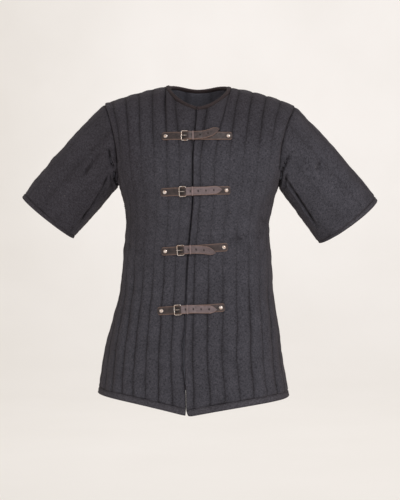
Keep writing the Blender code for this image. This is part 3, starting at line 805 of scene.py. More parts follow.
    def sleeve_grids(self, armhole: np.ndarray, angles: np.ndarray) -> list[Grid]:
        """The half of the sleeve that joins this quarter, with its share of the cuff band.

        Args:
            armhole: The points that it is sewn to.
            angles: Their angles round the armhole.

        Returns:
            The sleeve's grid and the cuff band's.
        """
        side, face = self.side, self.face
        cage = Cage.of(lambda u, v: side.sleeve(face, u, v), spread(0, math.pi, 28), spread(0, 1, 18))
        length = np.linalg.norm(side.cuff(face, 0.0) - side.armhole(face, 0.0))
        start = 1 - CUFF_BAND / length
        rings = np.array(spread(0, start, 54) + spread(start, 1, 5)[1:])[:, None]
        turn = np.broadcast_to(angles[None, :], (len(rings), len(angles)))
        along = np.broadcast_to(rings, turn.shape)
        points = cage.read(turn, along)
        points += (armhole - points[0])[None] * np.exp(-along / 0.03)[..., None]
        points[0] = armhole
        channel = turn / math.pi * 5 + (0.32 if side.sign > 0 else 0.0)
        factors = np.random.default_rng(SEED + side.sign).uniform(0.5, 1.3, 8)
        depth = 0.0011 * factors[np.clip(np.round(channel).astype(int), 0, 7)]
        depth = depth * (1 - 0.35 * along)
        flat = np.stack([face.sign * turn * 0.055, -along * 0.31], axis=-1)
        top, bottom = np.zeros(1), np.full(1, math.pi)
        middle, cuff = ((cage.read(top, place) + cage.read(bottom, place))[0] / 2
                        for place in (np.array([0.5]), np.ones(1)))
        return [Grid(f"sleeve_{side.name}", points[:55], channel[:55], depth[:55], flat[:55], tuple(middle)),
                Grid(f"cuff_band_{side.name}", points[54:], channel[54:], depth[54:] * 0.12, flat[54:],
                     tuple(cuff), lines=False)]


class Skin:
    """All the cloth as one welded skin of small quads, each in a named panel."""

    WELD = 2e-5

    def __init__(self) -> None:
        """Makes the grids of every quarter and sleeve, and welds them."""
        self.grids: list[Grid] = []
        for side in SIDES:
            for face in Face:
                quarter = Quarter(side, face)
                grids, armhole, angles = quarter.grids()
                self.grids += grids + quarter.sleeve_grids(armhole, angles)
        self.raw = self.number()
        self.panel_names = sorted({grid.panel for grid in self.grids})
        self.weld()
        self.read_normals()
        self.lift = self.shape_lift()

    def number(self) -> np.ndarray:
        """Gives every grid its place in the list of points and returns the points."""
        first = 0
        for grid in self.grids:
            grid.first = first
            first += grid.channel.size
        return np.concatenate([grid.points.reshape(-1, 3) for grid in self.grids])

    def quads_of(self, grid: Grid) -> np.ndarray:
        """A grid's quads, turned to face away from its inside."""
        rows, columns = grid.channel.shape
        corner = grid.first + np.arange(rows - 1)[:, None] * columns + np.arange(columns - 1)[None, :]
        quads = np.stack([corner, corner + 1, corner + columns + 1, corner + columns], axis=-1).reshape(-1, 4)
        corners = self.raw[quads]
        normals = np.cross(corners[:, 2] - corners[:, 0], corners[:, 3] - corners[:, 1])
        away = corners.mean(axis=1) - np.array(grid.inside)
        return quads[:, ::-1] if (normals * away).sum() < 0 else quads

    def weld(self) -> None:
        """Makes border points that lie on each other one point."""
        border = []
        for grid in self.grids:
            rows, columns = grid.channel.shape
            index = grid.first + np.arange(rows * columns).reshape(rows, columns)
            border.append(np.unique(np.concatenate([index[0], index[-1], index[:, 0], index[:, -1]])))
        border = np.unique(np.concatenate(border))
        tree = KDTree(len(border))
        for k in border:
            tree.insert(self.raw[k], int(k))
        tree.balance()
        self.to = np.arange(len(self.raw))
        for k in border:
            self.to[k] = min(hit[1] for hit in tree.find_range(self.raw[k], self.WELD))
        self.raw_quads = {name: [] for name in self.panel_names}
        for grid in self.grids:
            self.raw_quads[grid.panel].append(self.quads_of(grid))
        self.raw_quads = {name: np.concatenate(quads) for name, quads in self.raw_quads.items()}

    def read_normals(self) -> None:
        """Reads off shared normals, and how many quads use each edge."""
        self.normals = np.zeros_like(self.raw)
        every = self.to[np.concatenate([self.raw_quads[name] for name in self.panel_names])]
        corners = self.raw[every]
        crosses = np.cross(corners[:, 2] - corners[:, 0], corners[:, 3] - corners[:, 1])
        for k in range(4):
            np.add.at(self.normals, every[:, k], crosses)
        lengths = np.linalg.norm(self.normals, axis=1, keepdims=True)
        self.normals /= np.where(lengths > 0, lengths, 1)
        edges = np.sort(np.stack([every, np.roll(every, -1, axis=1)], axis=-1).reshape(-1, 2), axis=1)
        keys, counts = np.unique(edges[:, 0] * len(self.raw) + edges[:, 1], return_counts=True)
        self.free_keys = set(keys[counts == 1].tolist())

    def key(self, a: int, b: int) -> int:
        """One number for an edge."""
        return min(a, b) * len(self.raw) + max(a, b)

    def border_of(self, quads: np.ndarray) -> list[tuple[int, int, int]]:
        """A panel's border as (from, to, quad), in the direction that its quads give.

        Args:
            quads: The quads.

        Returns:
            The edges, each with its quad.
        """
        starts = quads.reshape(-1)
        ends = np.roll(quads, -1, axis=1).reshape(-1)
        keys = np.minimum(starts, ends) * len(self.raw) + np.maximum(starts, ends)
        _, first, counts = np.unique(keys, return_index=True, return_counts=True)
        return [(int(starts[i]), int(ends[i]), int(i // 4)) for i in first[counts == 1]]

    def seam_points(self, panel: str) -> np.ndarray:
        """The points at which a panel is sewn to others.

        Args:
            panel: The panel's name.

        Returns:
            Their numbers.
        """
        border = self.border_of(self.to[self.raw_quads[panel]])
        sewn = {k for a, b, _ in border if self.key(a, b) not in self.free_keys for k in (a, b)}
        return np.array(sorted(sewn))

    def distance(self, points: np.ndarray, targets: np.ndarray) -> np.ndarray:
        """How far each point is from the nearest target."""
        tree = KDTree(len(targets))
        for i, target in enumerate(targets):
            tree.insert(target, i)
        tree.balance()
        return np.array([tree.find(point)[2] for point in points])

    def shape_lift(self) -> np.ndarray:
        """How far each raw point stands out from the skin: unevenness, creases, seams and set-in sleeves."""
        coarse = Unevenness(0.045, 0.110, 22, SEED)
        medium = Unevenness(0.018, 0.040, 30, SEED + 1)
        fine = Unevenness(0.010, 0.017, 30, SEED + 2)
        lift = np.zeros(len(self.raw))
        armhole = {side.name: self.shared(f"sleeve_{side.name}") for side in SIDES}
        for grid in self.grids:
            span = slice(grid.first, grid.first + grid.channel.size)
            points = self.raw[span]
            channel = grid.channel.reshape(-1)
            to_line = np.abs(channel - np.round(channel))
            near = np.exp(-((to_line / 0.20) ** 2))
            soft = 0.0006 if grid.lines else 0.00015
            out = soft * coarse.at(points) + soft * 0.45 * medium.at(points)
            out += (0.00030 * near + 0.00006) * fine.at(points) * (1.0 if grid.lines else 0.9)
            for crease in CREASES:
                if grid.panel in crease.panels:
                    out += crease.at(points)
            seams = self.distance(points, self.raw[self.seam_points(grid.panel)])
            out -= 0.0015 * np.exp(-((seams / 0.0022) ** 2))
            for side in SIDES:
                if not len(armhole[side.name]):
                    continue
                away = self.distance(points, self.raw[armhole[side.name]])
                if grid.panel == f"sleeve_{side.name}":
                    out -= 0.0020 * np.exp(-((away / 0.007) ** 2))
                elif grid.panel in ("back", f"front_{side.name}"):
                    out += 0.0009 * np.exp(-(((away - 0.004) / 0.005) ** 2))
            if grid.panel == "neck_binding":
                rows = np.linspace(0, 1, grid.channel.shape[0])
                out += 0.0003 * np.repeat(np.sin(math.pi * rows), grid.channel.shape[1])
            if grid.panel == "front_right":
                low = smooth((-0.585 - points[:, 2]) / 0.05) * smooth((points[:, 2] + 0.80) / 0.05)
                out -= 0.0036 * low * np.exp(-((np.maximum(channel, 0) / 0.26) ** 2))
            lift[span] = out
        return lift

    def shared(self, panel: str) -> np.ndarray:
        """The points that a sleeve shares with the body, which are its armhole."""
        body = set().union(*(self.seam_points(name) for name in ("back", "front_right", "front_left")))
        return np.array(sorted(body & set(self.seam_points(panel))))


# ---------------------------------------------------------------- node trees

Value = float | bpy.types.NodeSocket | tuple


class Wiring:
    """Shorthand for making and joining the nodes of one tree."""

    def __init__(self, tree: bpy.types.NodeTree) -> None:
        """Starts on a tree."""
        self.tree = tree

    def feed(self, socket: bpy.types.NodeSocket, value: Value) -> None:
        """Links a socket to another, or sets its value.

        Args:
            socket: The socket.
            value: A socket or a value.
        """
        if isinstance(value, bpy.types.NodeSocket):
            self.tree.links.new(value, socket)
        else:
            socket.default_value = value

    def add(self, kind: str, inputs: dict | None = None, **settings: object) -> bpy.types.Node:
        """Makes a node.

        Args:
            kind: The node's type.
            inputs: Values or sockets by input name or number.
            **settings: The node's own properties.

        Returns:
            The node.
        """
        node = self.tree.nodes.new(kind)
        for name, value in settings.items():
            setattr(node, name, value)
        for name, value in (inputs or {}).items():
            self.feed(node.inputs[name], value)
        return node

    def math(self, operation: str, *values: Value) -> bpy.types.NodeSocket:
        """The result of a Math node."""
        return self.add("ShaderNodeMath", dict(enumerate(values)), operation=operation).outputs[0]

    def vector(self, operation: str, *values: Value) -> bpy.types.NodeSocket:
        """The vector result of a Vector Math node."""
        return self.add("ShaderNodeVectorMath", dict(enumerate(values)), operation=operation).outputs[0]

    def scaled(self, vector: Value, factor: Value) -> bpy.types.NodeSocket:
        """A vector times a number."""
        node = self.add("ShaderNodeVectorMath", {0: vector, "Scale": factor}, operation="SCALE")
        return node.outputs[0]

    def between(self, value: Value, low: float, high: float, start: float = 0.0,
                end: float = 1.0) -> bpy.types.NodeSocket:
        """A value carried from one range to another and held inside it."""
        inputs = {"Value": value, "From Min": low, "From Max": high, "To Min": start, "To Max": end}
        return self.add("ShaderNodeMapRange", inputs).outputs[0]

    def noise(self, vector: Value, scale: float, detail: float = 2.0,
              roughness: float = 0.5) -> bpy.types.NodeSocket:
        """The value of a Noise Texture."""
        inputs = {"Vector": vector, "Scale": scale, "Detail": detail, "Roughness": roughness}
        return self.add("ShaderNodeTexNoise", inputs).outputs[0]

    def mix(self, factor: Value, first: Value, second: Value) -> bpy.types.NodeSocket:
        """A mix of two colours.

        Args:
            factor: The share of the second.
            first: The first colour.
            second: The second colour.

        Returns:
            The mixed colour.
        """
        node = self.add("ShaderNodeMix", data_type="RGBA")
        self.feed(node.inputs[0], factor)
        self.feed(node.inputs[6], first)
        self.feed(node.inputs[7], second)
        return node.outputs[2]


def named(wiring: Wiring, name: str, kind: str = "FLOAT") -> bpy.types.NodeSocket:
    """The value of a named attribute in a geometry tree."""
    return wiring.add("GeometryNodeInputNamedAttribute", {"Name": name}, data_type=kind).outputs[0]


class TreeModifier:
    """A Geometry Nodes tree with named inputs, and the means to run it on an object."""

    def __init__(self, name: str, sockets: dict[str, str]) -> None:
        """Makes the empty tree.

        Args:
            name: The tree's name.
            sockets: The type of each input by its name.
        """
        self.tree = bpy.data.node_groups.new(name, "GeometryNodeTree")
        face = self.tree.interface
        face.new_socket(name="Geometry", in_out="INPUT", socket_type="NodeSocketGeometry")
        self.identifiers = {
            label: face.new_socket(name=label, in_out="INPUT", socket_type=kind).identifier
            for label, kind in sockets.items()
        }
        face.new_socket(name="Geometry", in_out="OUTPUT", socket_type="NodeSocketGeometry")
        self.wiring = Wiring(self.tree)
        self.inputs = self.wiring.add("NodeGroupInput").outputs
        self.result = self.wiring.add("NodeGroupOutput").inputs[0]

    def run(self, piece: bpy.types.Object, values: dict) -> None:
        """Makes an object's mesh what the tree gives for it, and leaves no modifier on it.

        Args:
            piece: The object.
            values: The value of each input by its name.
        """
        modifier = piece.modifiers.new(self.tree.name, "NODES")
        modifier.node_group = self.tree
        for label, value in values.items():
            modifier[self.identifiers[label]] = value
        mesh = evaluated_mesh(piece)
        piece.modifiers.remove(modifier)
        old = piece.data
        piece.data = mesh
        bpy.data.meshes.remove(old)
        mesh.name = piece.name


def quilting_tree() -> TreeModifier:
    """Presses lines of quilting into padded cloth, stores painted shade for its grooves and creases, and
    gives it its two cloths.
    """
    made = TreeModifier("quilting", {"Fullness": "NodeSocketFloat", "Outer cloth": "NodeSocketMaterial",
                                     "Lining": "NodeSocketMaterial"})
    w = made.wiring
    channel = named(w, "channel")
    depth = named(w, "depth")
    to_middle = w.math("ABSOLUTE", w.math("SUBTRACT", w.math("FRACT", channel), 0.5))
    from_line = w.math("SUBTRACT", 0.5, to_middle)
    arch = w.math("SINE", w.math("MULTIPLY", from_line, math.pi))
    puff = w.math("POWER", w.math("MAXIMUM", arch, 0.0), made.inputs["Fullness"])
    hollow = w.math("SUBTRACT", 1.0, puff)
    dip = w.math("MULTIPLY", hollow, depth)
    out = w.math("SUBTRACT", named(w, "lift"), dip)
    move = w.scaled(named(w, "outward", "FLOAT_VECTOR"), out)
    shaped = w.add("GeometryNodeSetPosition", {"Geometry": made.inputs["Geometry"], "Offset": move})
    # Painted shade: darker towards the bottom of each groove, and more where its line is sewn deeper.
    dark = w.math("MULTIPLY", w.math("POWER", hollow, 1.6), w.between(depth, 0.0004, 0.0026, 0.08, 1.0))
    # Painted shade where the cloth sinks in: creases, seam valleys, round the set-in sleeves and the wedge
    # below the lowest strap.
    sunken_shade = w.between(named(w, "lift"), -0.0012, -0.0048)
    shade = w.math("MAXIMUM", dark, sunken_shade)
    # The hollow attribute carries this painted shade to the cloth's material.
    kept = w.add("GeometryNodeStoreNamedAttribute", {"Geometry": shaped.outputs[0], "Name": "hollow",
                                                     "Value": shade}, data_type="FLOAT", domain="POINT")
    solid = w.add("GeometryNodeRealizeInstances", {"Geometry": kept.outputs[0]})
    outer = w.add("GeometryNodeSetMaterial",
                  {"Geometry": solid.outputs[0], "Material": made.inputs["Outer cloth"]})
    inner = w.add("GeometryNodeSetMaterial", {"Geometry": outer.outputs[0], "Material": made.inputs["Lining"],
                                              "Selection": named(w, "lining", "BOOLEAN")})
    w.feed(made.result, inner.outputs[0])
    return made


def stitching_tree() -> TreeModifier:
    """The tree that lays stitches end to end along lines."""
    made = TreeModifier("stitching", {"Pitch": "NodeSocketFloat", "Length": "NodeSocketFloat",
                                      "Thread": "NodeSocketFloat", "Seed": "NodeSocketInt",
                                      "Material": "NodeSocketMaterial"})
    w = made.wiring
    line = w.add("GeometryNodeMeshToCurve", {"Mesh": made.inputs["Geometry"]})
    even = w.add("GeometryNodeResampleCurve", {"Curve": line.outputs[0], "Length": made.inputs["Pitch"]},
                 mode="LENGTH")
    tangent = w.add("GeometryNodeInputTangent").outputs[0]
    limits = {"Min": (-STITCH_WOBBLE,) * 3, "Max": (STITCH_WOBBLE,) * 3, "Seed": made.inputs["Seed"]}
    wobble = w.add("FunctionNodeRandomValue", limits, data_type="FLOAT_VECTOR").outputs[0]
    turn = w.add("FunctionNodeAlignRotationToVector", {"Vector": w.vector("ADD", tangent, wobble)}, axis="X")
    half = w.math("MULTIPLY", made.inputs["Length"], 0.5)
    size = w.add("ShaderNodeCombineXYZ", {0: half, 1: made.inputs["Thread"], 2: made.inputs["Thread"]})
    bead = w.add("GeometryNodeMeshIcoSphere", {"Radius": 1.0, "Subdivisions": 1})
    placed = w.add("GeometryNodeInstanceOnPoints", {"Points": even.outputs[0], "Instance": bead.outputs[0],
                                                    "Rotation": turn.outputs[0], "Scale": size.outputs[0]})
    solid = w.add("GeometryNodeRealizeInstances", {"Geometry": placed.outputs[0]})
    smoothed = w.add("GeometryNodeSetShadeSmooth", {"Geometry": solid.outputs[0]})
    done = w.add("GeometryNodeSetMaterial",
                 {"Geometry": smoothed.outputs[0], "Material": made.inputs["Material"]})
    w.feed(made.result, done.outputs[0])
    return made


# ---------------------------------------------------------------- finishes


def new_material(name: str) -> tuple[bpy.types.Material, Wiring, bpy.types.Node]:
    """A material, the wiring of its tree and its shader.

    Args:
        name: Its name.

    Returns:
        The material, its wiring and its shader.
    """
    material = bpy.data.materials.new(name)
    material.use_nodes = True
    wiring = Wiring(material.node_tree)
    return material, wiring, material.node_tree.nodes["Principled BSDF"]


def shade(red: float, green: float, blue: float) -> tuple[float, float, float, float]:
    """A colour from screen values of 0 to 255."""
    parts = [c / 255 for c in (red, green, blue)]
    return (*[c / 12.92 if c <= 0.04045 else ((c + 0.055) / 1.055) ** 2.4 for c in parts], 1.0)


@dataclass(frozen=True)
class WovenCloth:
    """A heathered, coarsely woven cloth that reads its own flat pattern for the weave, with painted shade in
    its grooves, at grazing angles and on its shaded side.
    """

    name: str
    dark: Colour
    light: Colour
    # The colour of the painted shade in grooves and creases.
    hollow: Colour
    # The colour and the strength of painted shade where the cloth turns from the camera, near the top and on
    # the wearer's right.
    turned: Colour = field(default=shade(40, 32, 36))
    grazing_shade_strength: float = 1.0
    lint: float = 0.6
    thread: float = 0.00095
    bump: float = 0.5
    sheen: float = 0.10

    def material(self) -> bpy.types.Material:
        """Makes the material."""
        material, w, shader = new_material(self.name)
        place = w.add("ShaderNodeTexCoord")
        space = place.outputs["Object"]
        flat = w.add("ShaderNodeUVMap", uv_map="flat").outputs[0]
        patches = w.noise(space, 26.0, 3.0, 0.55)
        clumps = w.noise(space, 210.0, 3.0, 0.65)
        specks = w.noise(space, 620.0, 2.0, 0.6)
        weft = w.noise(w.vector("MULTIPLY", flat, (170.0, 900.0, 1.0)), 1.0, 2.0, 0.5)
        warp = w.noise(w.vector("MULTIPLY", flat, (900.0, 170.0, 1.0)), 1.0, 2.0, 0.5)
        slubs = w.between(w.math("ADD", weft, warp), 0.78, 1.22)
        heather = w.math("ADD", w.math("MULTIPLY", w.between(clumps, 0.34, 0.66), 0.30),
                         w.math("ADD", w.math("MULTIPLY", w.between(specks, 0.32, 0.68), 0.25),
                                w.math("MULTIPLY", slubs, 0.45)))
        colour = w.mix(heather, self.dark, self.light)
        tone = w.between(patches, 0.3, 0.7, 0.88, 1.10)
        toned = w.add("ShaderNodeMix", data_type="RGBA", blend_type="MULTIPLY")
        w.feed(toned.inputs[0], 1.0)
        w.feed(toned.inputs[6], colour)
        grey = w.add("ShaderNodeCombineColor", {0: tone, 1: tone, 2: tone})
        w.feed(toned.inputs[7], grey.outputs[0])
        hollow = w.add("ShaderNodeAttribute", attribute_name="hollow").outputs["Fac"]
        # Painted shade: darker where the surface turns away from the camera, towards the top at the
        # shoulders, and on the upper wearer's right, away from the key light.
        facing = w.add("ShaderNodeLayerWeight", {"Blend": 0.5}).outputs["Facing"]
        parts = w.add("ShaderNodeSeparateXYZ", {0: space})
        high = w.between(parts.outputs[2], -0.20, -0.03, 0.0, 0.50)
        upper = w.between(parts.outputs[2], -0.52, -0.38)
        side_shade = w.math("MULTIPLY", w.between(parts.outputs[0], -0.08, -0.17, 0.0, 0.38), upper)
        away = w.between(facing, 0.15, 0.85, 0.0, 0.70)
        turned = w.math("MULTIPLY", w.math("MAXIMUM", away, w.math("MAXIMUM", high, side_shade)), self.grazing_shade_strength)
        colour = w.mix(turned, toned.outputs[2], self.turned)
        # Painted shade in grooves and creases, read from the hollow attribute.
        colour = w.mix(w.between(hollow, 0.0, 1.0, 0.0, 0.95), colour, self.hollow)
        bits = w.add("ShaderNodeTexVoronoi", {"Vector": space, "Scale": 95.0}, feature="F1")
        chance = w.between(w.noise(space, 37.0, 1.0), 0.60, 0.66)
        spot = w.math("MULTIPLY", w.between(bits.outputs["Distance"], 0.13, 0.06), chance)
        pale = shade(122, 118, 116)
        colour = w.mix(w.math("MULTIPLY", spot, self.lint), colour, pale)
        w.feed(shader.inputs["Base Color"], colour)
        ways = w.add("ShaderNodeSeparateXYZ", {0: flat})
        across, along = (w.math("SINE", w.math("MULTIPLY", ways.outputs[k], FULL_TURN / self.thread))
                         for k in (0, 1))
        weave = w.math("ADD", w.math("MULTIPLY", across, along), w.math("MULTIPLY", specks, 1.6))
        height = w.math("ADD", w.math("MULTIPLY", weave, 0.5), w.math("MULTIPLY", clumps, 1.5))
        bump = w.add("ShaderNodeBump", {"Strength": self.bump, "Distance": 0.0005, "Height": height})
        w.feed(shader.inputs["Normal"], bump.outputs[0])
        w.feed(shader.inputs["Roughness"], w.between(specks, 0.2, 0.8, 0.86, 1.0))
        shader.inputs["Sheen Weight"].default_value = self.sheen
        shader.inputs["Sheen Roughness"].default_value = 0.45
        shader.inputs["Sheen Tint"].default_value = (0.62, 0.58, 0.62, 1.0)
        shader.inputs["Specular IOR Level"].default_value = 0.15
        return material


@dataclass(frozen=True)
class OiledLeather:
    """Dark brown strap leather, with burnished edges, a scuffed grain, pale patches that are partly wear and
    partly painted highlight, and painted shadow.
    """

    name: str = "strap_leather"
    dark: Colour = field(default=shade(42, 34, 35))
    light: Colour = field(default=shade(74, 61, 61))
    # A pale colour for patches that are partly wear and partly painted highlight, and a near-black one for
    # painted shadow.
    rubbed: Colour = field(default=shade(142, 126, 130))
    painted_shadow: Colour = field(default=shade(18, 15, 16))
    edge: Colour = field(default=shade(136, 108, 96))

    def material(self) -> bpy.types.Material:
        """Makes the material."""
        material, w, shader = new_material(self.name)
        space = w.add("ShaderNodeTexCoord").outputs["Object"]
        clouds = w.noise(space, 120.0, 4.0, 0.6)
        grain = w.add("ShaderNodeTexVoronoi", {"Vector": space, "Scale": 1300.0}, feature="F1")
        fine = w.noise(space, 900.0, 3.0, 0.6)
        stretched = w.vector("MULTIPLY", space, (90.0, 90.0, 260.0))
        streaks = w.noise(stretched, 1.0, 3.0, 0.6)
        worn = w.math("ADD", w.math("MULTIPLY", clouds, 0.6), w.math("MULTIPLY", streaks, 0.4))
        colour = w.mix(w.between(worn, 0.38, 0.66), self.dark, self.light)
        # Above zero the attribute paints the pale colour, partly wear and partly painted highlight; below
        # zero it paints shadow.
        rubbed = w.add("ShaderNodeAttribute", attribute_name="rubbed").outputs["Fac"]
        pale = w.between(rubbed, 0.0, 1.0)
        colour = w.mix(w.math("MULTIPLY", pale, w.between(worn, 0.36, 0.64, 0.60, 1.0)), colour, self.rubbed)
        colour = w.mix(w.between(rubbed, 0.0, -1.0), colour, self.painted_shadow)
        rim = w.add("ShaderNodeAttribute", attribute_name="edge").outputs["Fac"]
        colour = w.mix(w.math("MULTIPLY", rim, w.between(fine, 0.3, 0.7, 0.35, 1.0)), colour, self.edge)
        w.feed(shader.inputs["Base Color"], colour)
        height = w.math("ADD", grain.outputs["Distance"], w.math("MULTIPLY", fine, 0.8))
        bump = w.add("ShaderNodeBump", {"Strength": 0.35, "Distance": 0.0003, "Height": height})
        w.feed(shader.inputs["Normal"], bump.outputs[0])
        w.feed(shader.inputs["Roughness"], w.between(clouds, 0.3, 0.7, 0.58, 0.40))
        shader.inputs["Specular IOR Level"].default_value = 0.45
        return material


@dataclass(frozen=True)
class AgedMetal:
    """Nickel plate worn to a warm, coppery tint."""

    metal: Metal
    bright: Colour
    warm: Colour
    dull: Colour

    def material(self) -> bpy.types.Material:
        """Makes the material."""
        material, w, shader = new_material(self.metal.value)
        space = w.add("ShaderNodeTexCoord").outputs["Object"]
        patches = w.noise(space, 260.0, 3.0, 0.6)
        pits = w.noise(space, 1400.0, 2.0, 0.7)
        colour = w.mix(w.between(patches, 0.42, 0.62), self.bright, self.warm)
        colour = w.mix(w.between(pits, 0.60, 0.74, 0.0, 0.8), colour, self.dull)
        w.feed(shader.inputs["Base Color"], colour)
        w.feed(shader.inputs["Roughness"], w.between(pits, 0.3, 0.7, 0.16, 0.36))
        bump = w.add("ShaderNodeBump", {"Strength": 0.15, "Distance": 0.0002, "Height": pits})
        w.feed(shader.inputs["Normal"], bump.outputs[0])
        shader.inputs["Metallic"].default_value = 1.0
        return material


@dataclass(frozen=True)
class WaxedThread:
    """The dark thread of the stitches."""

    name: str = "thread"
    dark: Colour = field(default=shade(26, 23, 26))
    light: Colour = field(default=shade(46, 42, 46))

    def material(self) -> bpy.types.Material:
        """Makes the material."""
        material, w, shader = new_material(self.name)
        space = w.add("ShaderNodeTexCoord").outputs["Object"]
        colour = w.mix(w.between(w.noise(space, 500.0), 0.35, 0.65), self.dark, self.light)
        w.feed(shader.inputs["Base Color"], colour)
        shader.inputs["Roughness"].default_value = 0.7
        return material


# ---------------------------------------------------------------- making pieces


def place_piece(name: str, mesh: bpy.types.Mesh) -> bpy.types.Object:
    """An object for a mesh, at the origin.

    Args:
        name: Its name.
        mesh: Its mesh.

    Returns:
        The object.
    """
    piece = bpy.data.objects.new(name, mesh)
    bpy.context.scene.collection.objects.link(piece)
    return piece


def tell(piece: bpy.types.Object) -> None:
    """Reports a piece that is finished."""
    area = sum(face.area for face in piece.data.polygons)
    LOG.info("%s: %d faces, %.4f square metres", piece.name, len(piece.data.polygons), area)


@dataclass
class Wall:
    """A panel of padded cloth as a closed wall, before it is quilted."""

    skin: Skin
    panel: str
    thickness: float = WALL
    free_round: float = 0.0022
    rim_steps: int = 4
    outer_index: dict[int, int] = field(default_factory=dict)

    def border_moves(self, quads: np.ndarray, border: list[tuple[int, int, int]]) -> tuple[dict, dict]:
        """How far border points move back from seams and free edges, and the way out at free edges.

        Args:
            quads: The quads.
            border: Their border edges.

        Returns:
            The moves and the ways out, by point.
        """
        points = self.skin.raw
        pulls: dict[int, list] = defaultdict(list)
        outs: dict[int, list] = defaultdict(list)
        for a, b, quad in border:
            along = points[b] - points[a]
            inward = points[quads[quad]].mean(axis=0) - points[a]
            inward = inward - along * (inward @ along) / (along @ along)
            inward /= np.linalg.norm(inward)
            free = self.skin.key(a, b) in self.skin.free_keys
            for k in (a, b):
                pulls[k].append((inward, self.free_round if free else SEAM_GAP / 2))
                if free:
                    outs[k].append(-inward)
        moves = {}
        for k, rows in pulls.items():
            ways = np.array([way for way, _ in rows])
            gaps = np.array([gap for _, gap in rows])
            moves[k] = np.linalg.pinv(ways, rcond=0.25) @ gaps
        ways_out = {}
        for k, rows in outs.items():
            ways = np.array(rows)
            ways_out[k] = np.linalg.pinv(ways, rcond=0.25) @ np.ones(len(ways))
        return moves, ways_out

    def mesh(self) -> bpy.types.Mesh:
        """The wall's mesh, with the attributes that the quilting reads."""
        skin = self.skin
        raw_quads = skin.raw_quads[self.panel]
        quads = skin.to[raw_quads]
        border = skin.border_of(quads)
        moves, ways_out = self.border_moves(quads, border)
        used, first = np.unique(quads.reshape(-1), return_index=True)
        raw = raw_quads.reshape(-1)[first]
        local = {int(k): i for i, k in enumerate(used)}
        count = len(used)
        channel, depth, flat = (np.concatenate([getattr(g, name).reshape(-1, *extra) for g in skin.grids])
                                for name, extra in (("channel", ()), ("depth", ()), ("flat", (2,))))
        outer = skin.raw[used].copy()
        for k, move in moves.items():
            outer[local[k]] += move
        normals = skin.normals[used]
        inner = outer - normals * self.thickness
        points = [outer, inner]
        outward = [normals, -normals]
        lifts = [skin.lift[raw], skin.lift[raw] * 0.25]
        depths = [depth[raw], depth[raw] * 0.45]
        rims: dict[int, list[int]] = {}
        total = 2 * count
        for k, way in ways_out.items():
            i = local[k]
            middle = (outer[i] + inner[i]) / 2
            half = (outer[i] - inner[i]) / 2
            turns = np.array(spread(0, math.pi, self.rim_steps + 1)[1:-1])
            ring = middle + half * np.cos(turns)[:, None] + way * self.free_round * np.sin(turns)[:, None]
            fade = np.clip(np.cos(turns), 0, 1)
            points.append(ring)
            outward.append(np.repeat(normals[i][None], len(turns), axis=0))
            lifts.append(skin.lift[raw[i]] * fade)
            depths.append(depth[raw[i]] * fade)
            rims[k] = list(range(total, total + len(turns)))
            total += len(turns)
        rim_channels = [np.full(len(rims[k]), channel[raw[local[k]]]) for k in ways_out]
        channels = np.concatenate([channel[raw], channel[raw], *rim_channels])
        faces = [list(map(int, row)) for row in np.searchsorted(used, quads)]
        loops = flat[raw_quads].reshape(-1, 2).tolist()
        faces += [[i + count for i in reversed(face)] for face in faces[:len(quads)]]
        loops += flat[raw_quads[:, ::-1]].reshape(-1, 2).tolist()
        lining = [False] * len(quads) + [True] * len(quads)
        for a, b, _ in border:
            i, j = local[a], local[b]
            left = [i, *rims.get(a, ()), i + count]
            right = [j, *rims.get(b, ()), j + count]
            if len(left) == len(right) and len(left) > 2 and skin.key(a, b) in skin.free_keys:
                new = [[right[n], left[n], left[n + 1], right[n + 1]] for n in range(len(left) - 1)]
            else:
                new = [right[:1] + left + right[:0:-1]]
            faces += new
            for face in new:
                lining.append(False)
                for n in face:
                    place = flat[raw[local[a]]] if n in left else flat[raw[local[b]]]
                    loops.append((float(place[0]), float(place[1])))
        mesh = bpy.data.meshes.new(self.panel)
        mesh.from_pydata(np.concatenate(points).tolist(), [], faces)
        layer = mesh.uv_layers.new(name="flat")
        layer.data.foreach_set("uv", np.array(loops, np.float32).reshape(-1))
        for name, kind, values in (("channel", "FLOAT", channels), ("depth", "FLOAT", np.concatenate(depths)),
                                   ("lift", "FLOAT", np.concatenate(lifts))):
            mesh.attributes.new(name, kind, "POINT").data.foreach_set("value", values.astype(np.float32))
        ways = mesh.attributes.new("outward", "FLOAT_VECTOR", "POINT")
        ways.data.foreach_set("vector", np.concatenate(outward).astype(np.float32).reshape(-1))
        mesh.attributes.new("lining", "BOOLEAN", "FACE").data.foreach_set("value", lining)
        mesh.shade_smooth()
        places = np.searchsorted(used, quads).reshape(-1)
        self.outer_index = {int(r): i for r, i in zip(raw_quads.reshape(-1), places)}
        return mesh


@dataclass(frozen=True)
class Cut:
    """The flat cloth that a panel is cut from."""

    width: float
    length: float
    area: float

    @classmethod
    def of(cls, width: float, length: float, area: float) -> "Cut":
        """A cut to the millimetre and the square centimetre, whose area its width and length can hold."""
        width, length = round(width, 3), round(length, 3)
        return cls(width, length, min(round(area, 4), math.floor(width * length * 1e5) / 1e5))


def run_of(points: Sequence[np.ndarray]) -> float:
    """Length of the line through some points."""
    return float(np.linalg.norm(np.diff(np.array(points), axis=0), axis=1).sum())


def area_of(place: Callable[[float, float], np.ndarray], across: Sequence[float],
            along: Sequence[float]) -> float:
    """Area of a surface, from the diagonals of its cells.

    Args:
        place: The surface's point for a pair of values.
        across: The first values.
        along: The second values.

    Returns:
        The area in square metres.
    """
    cells = np.array([[place(u, v) for u in across] for v in along])
    rising, falling = cells[1:, 1:] - cells[:-1, :-1], cells[1:, :-1] - cells[:-1, 1:]
    return float(np.linalg.norm(np.cross(rising, falling), axis=-1).sum() / 2)


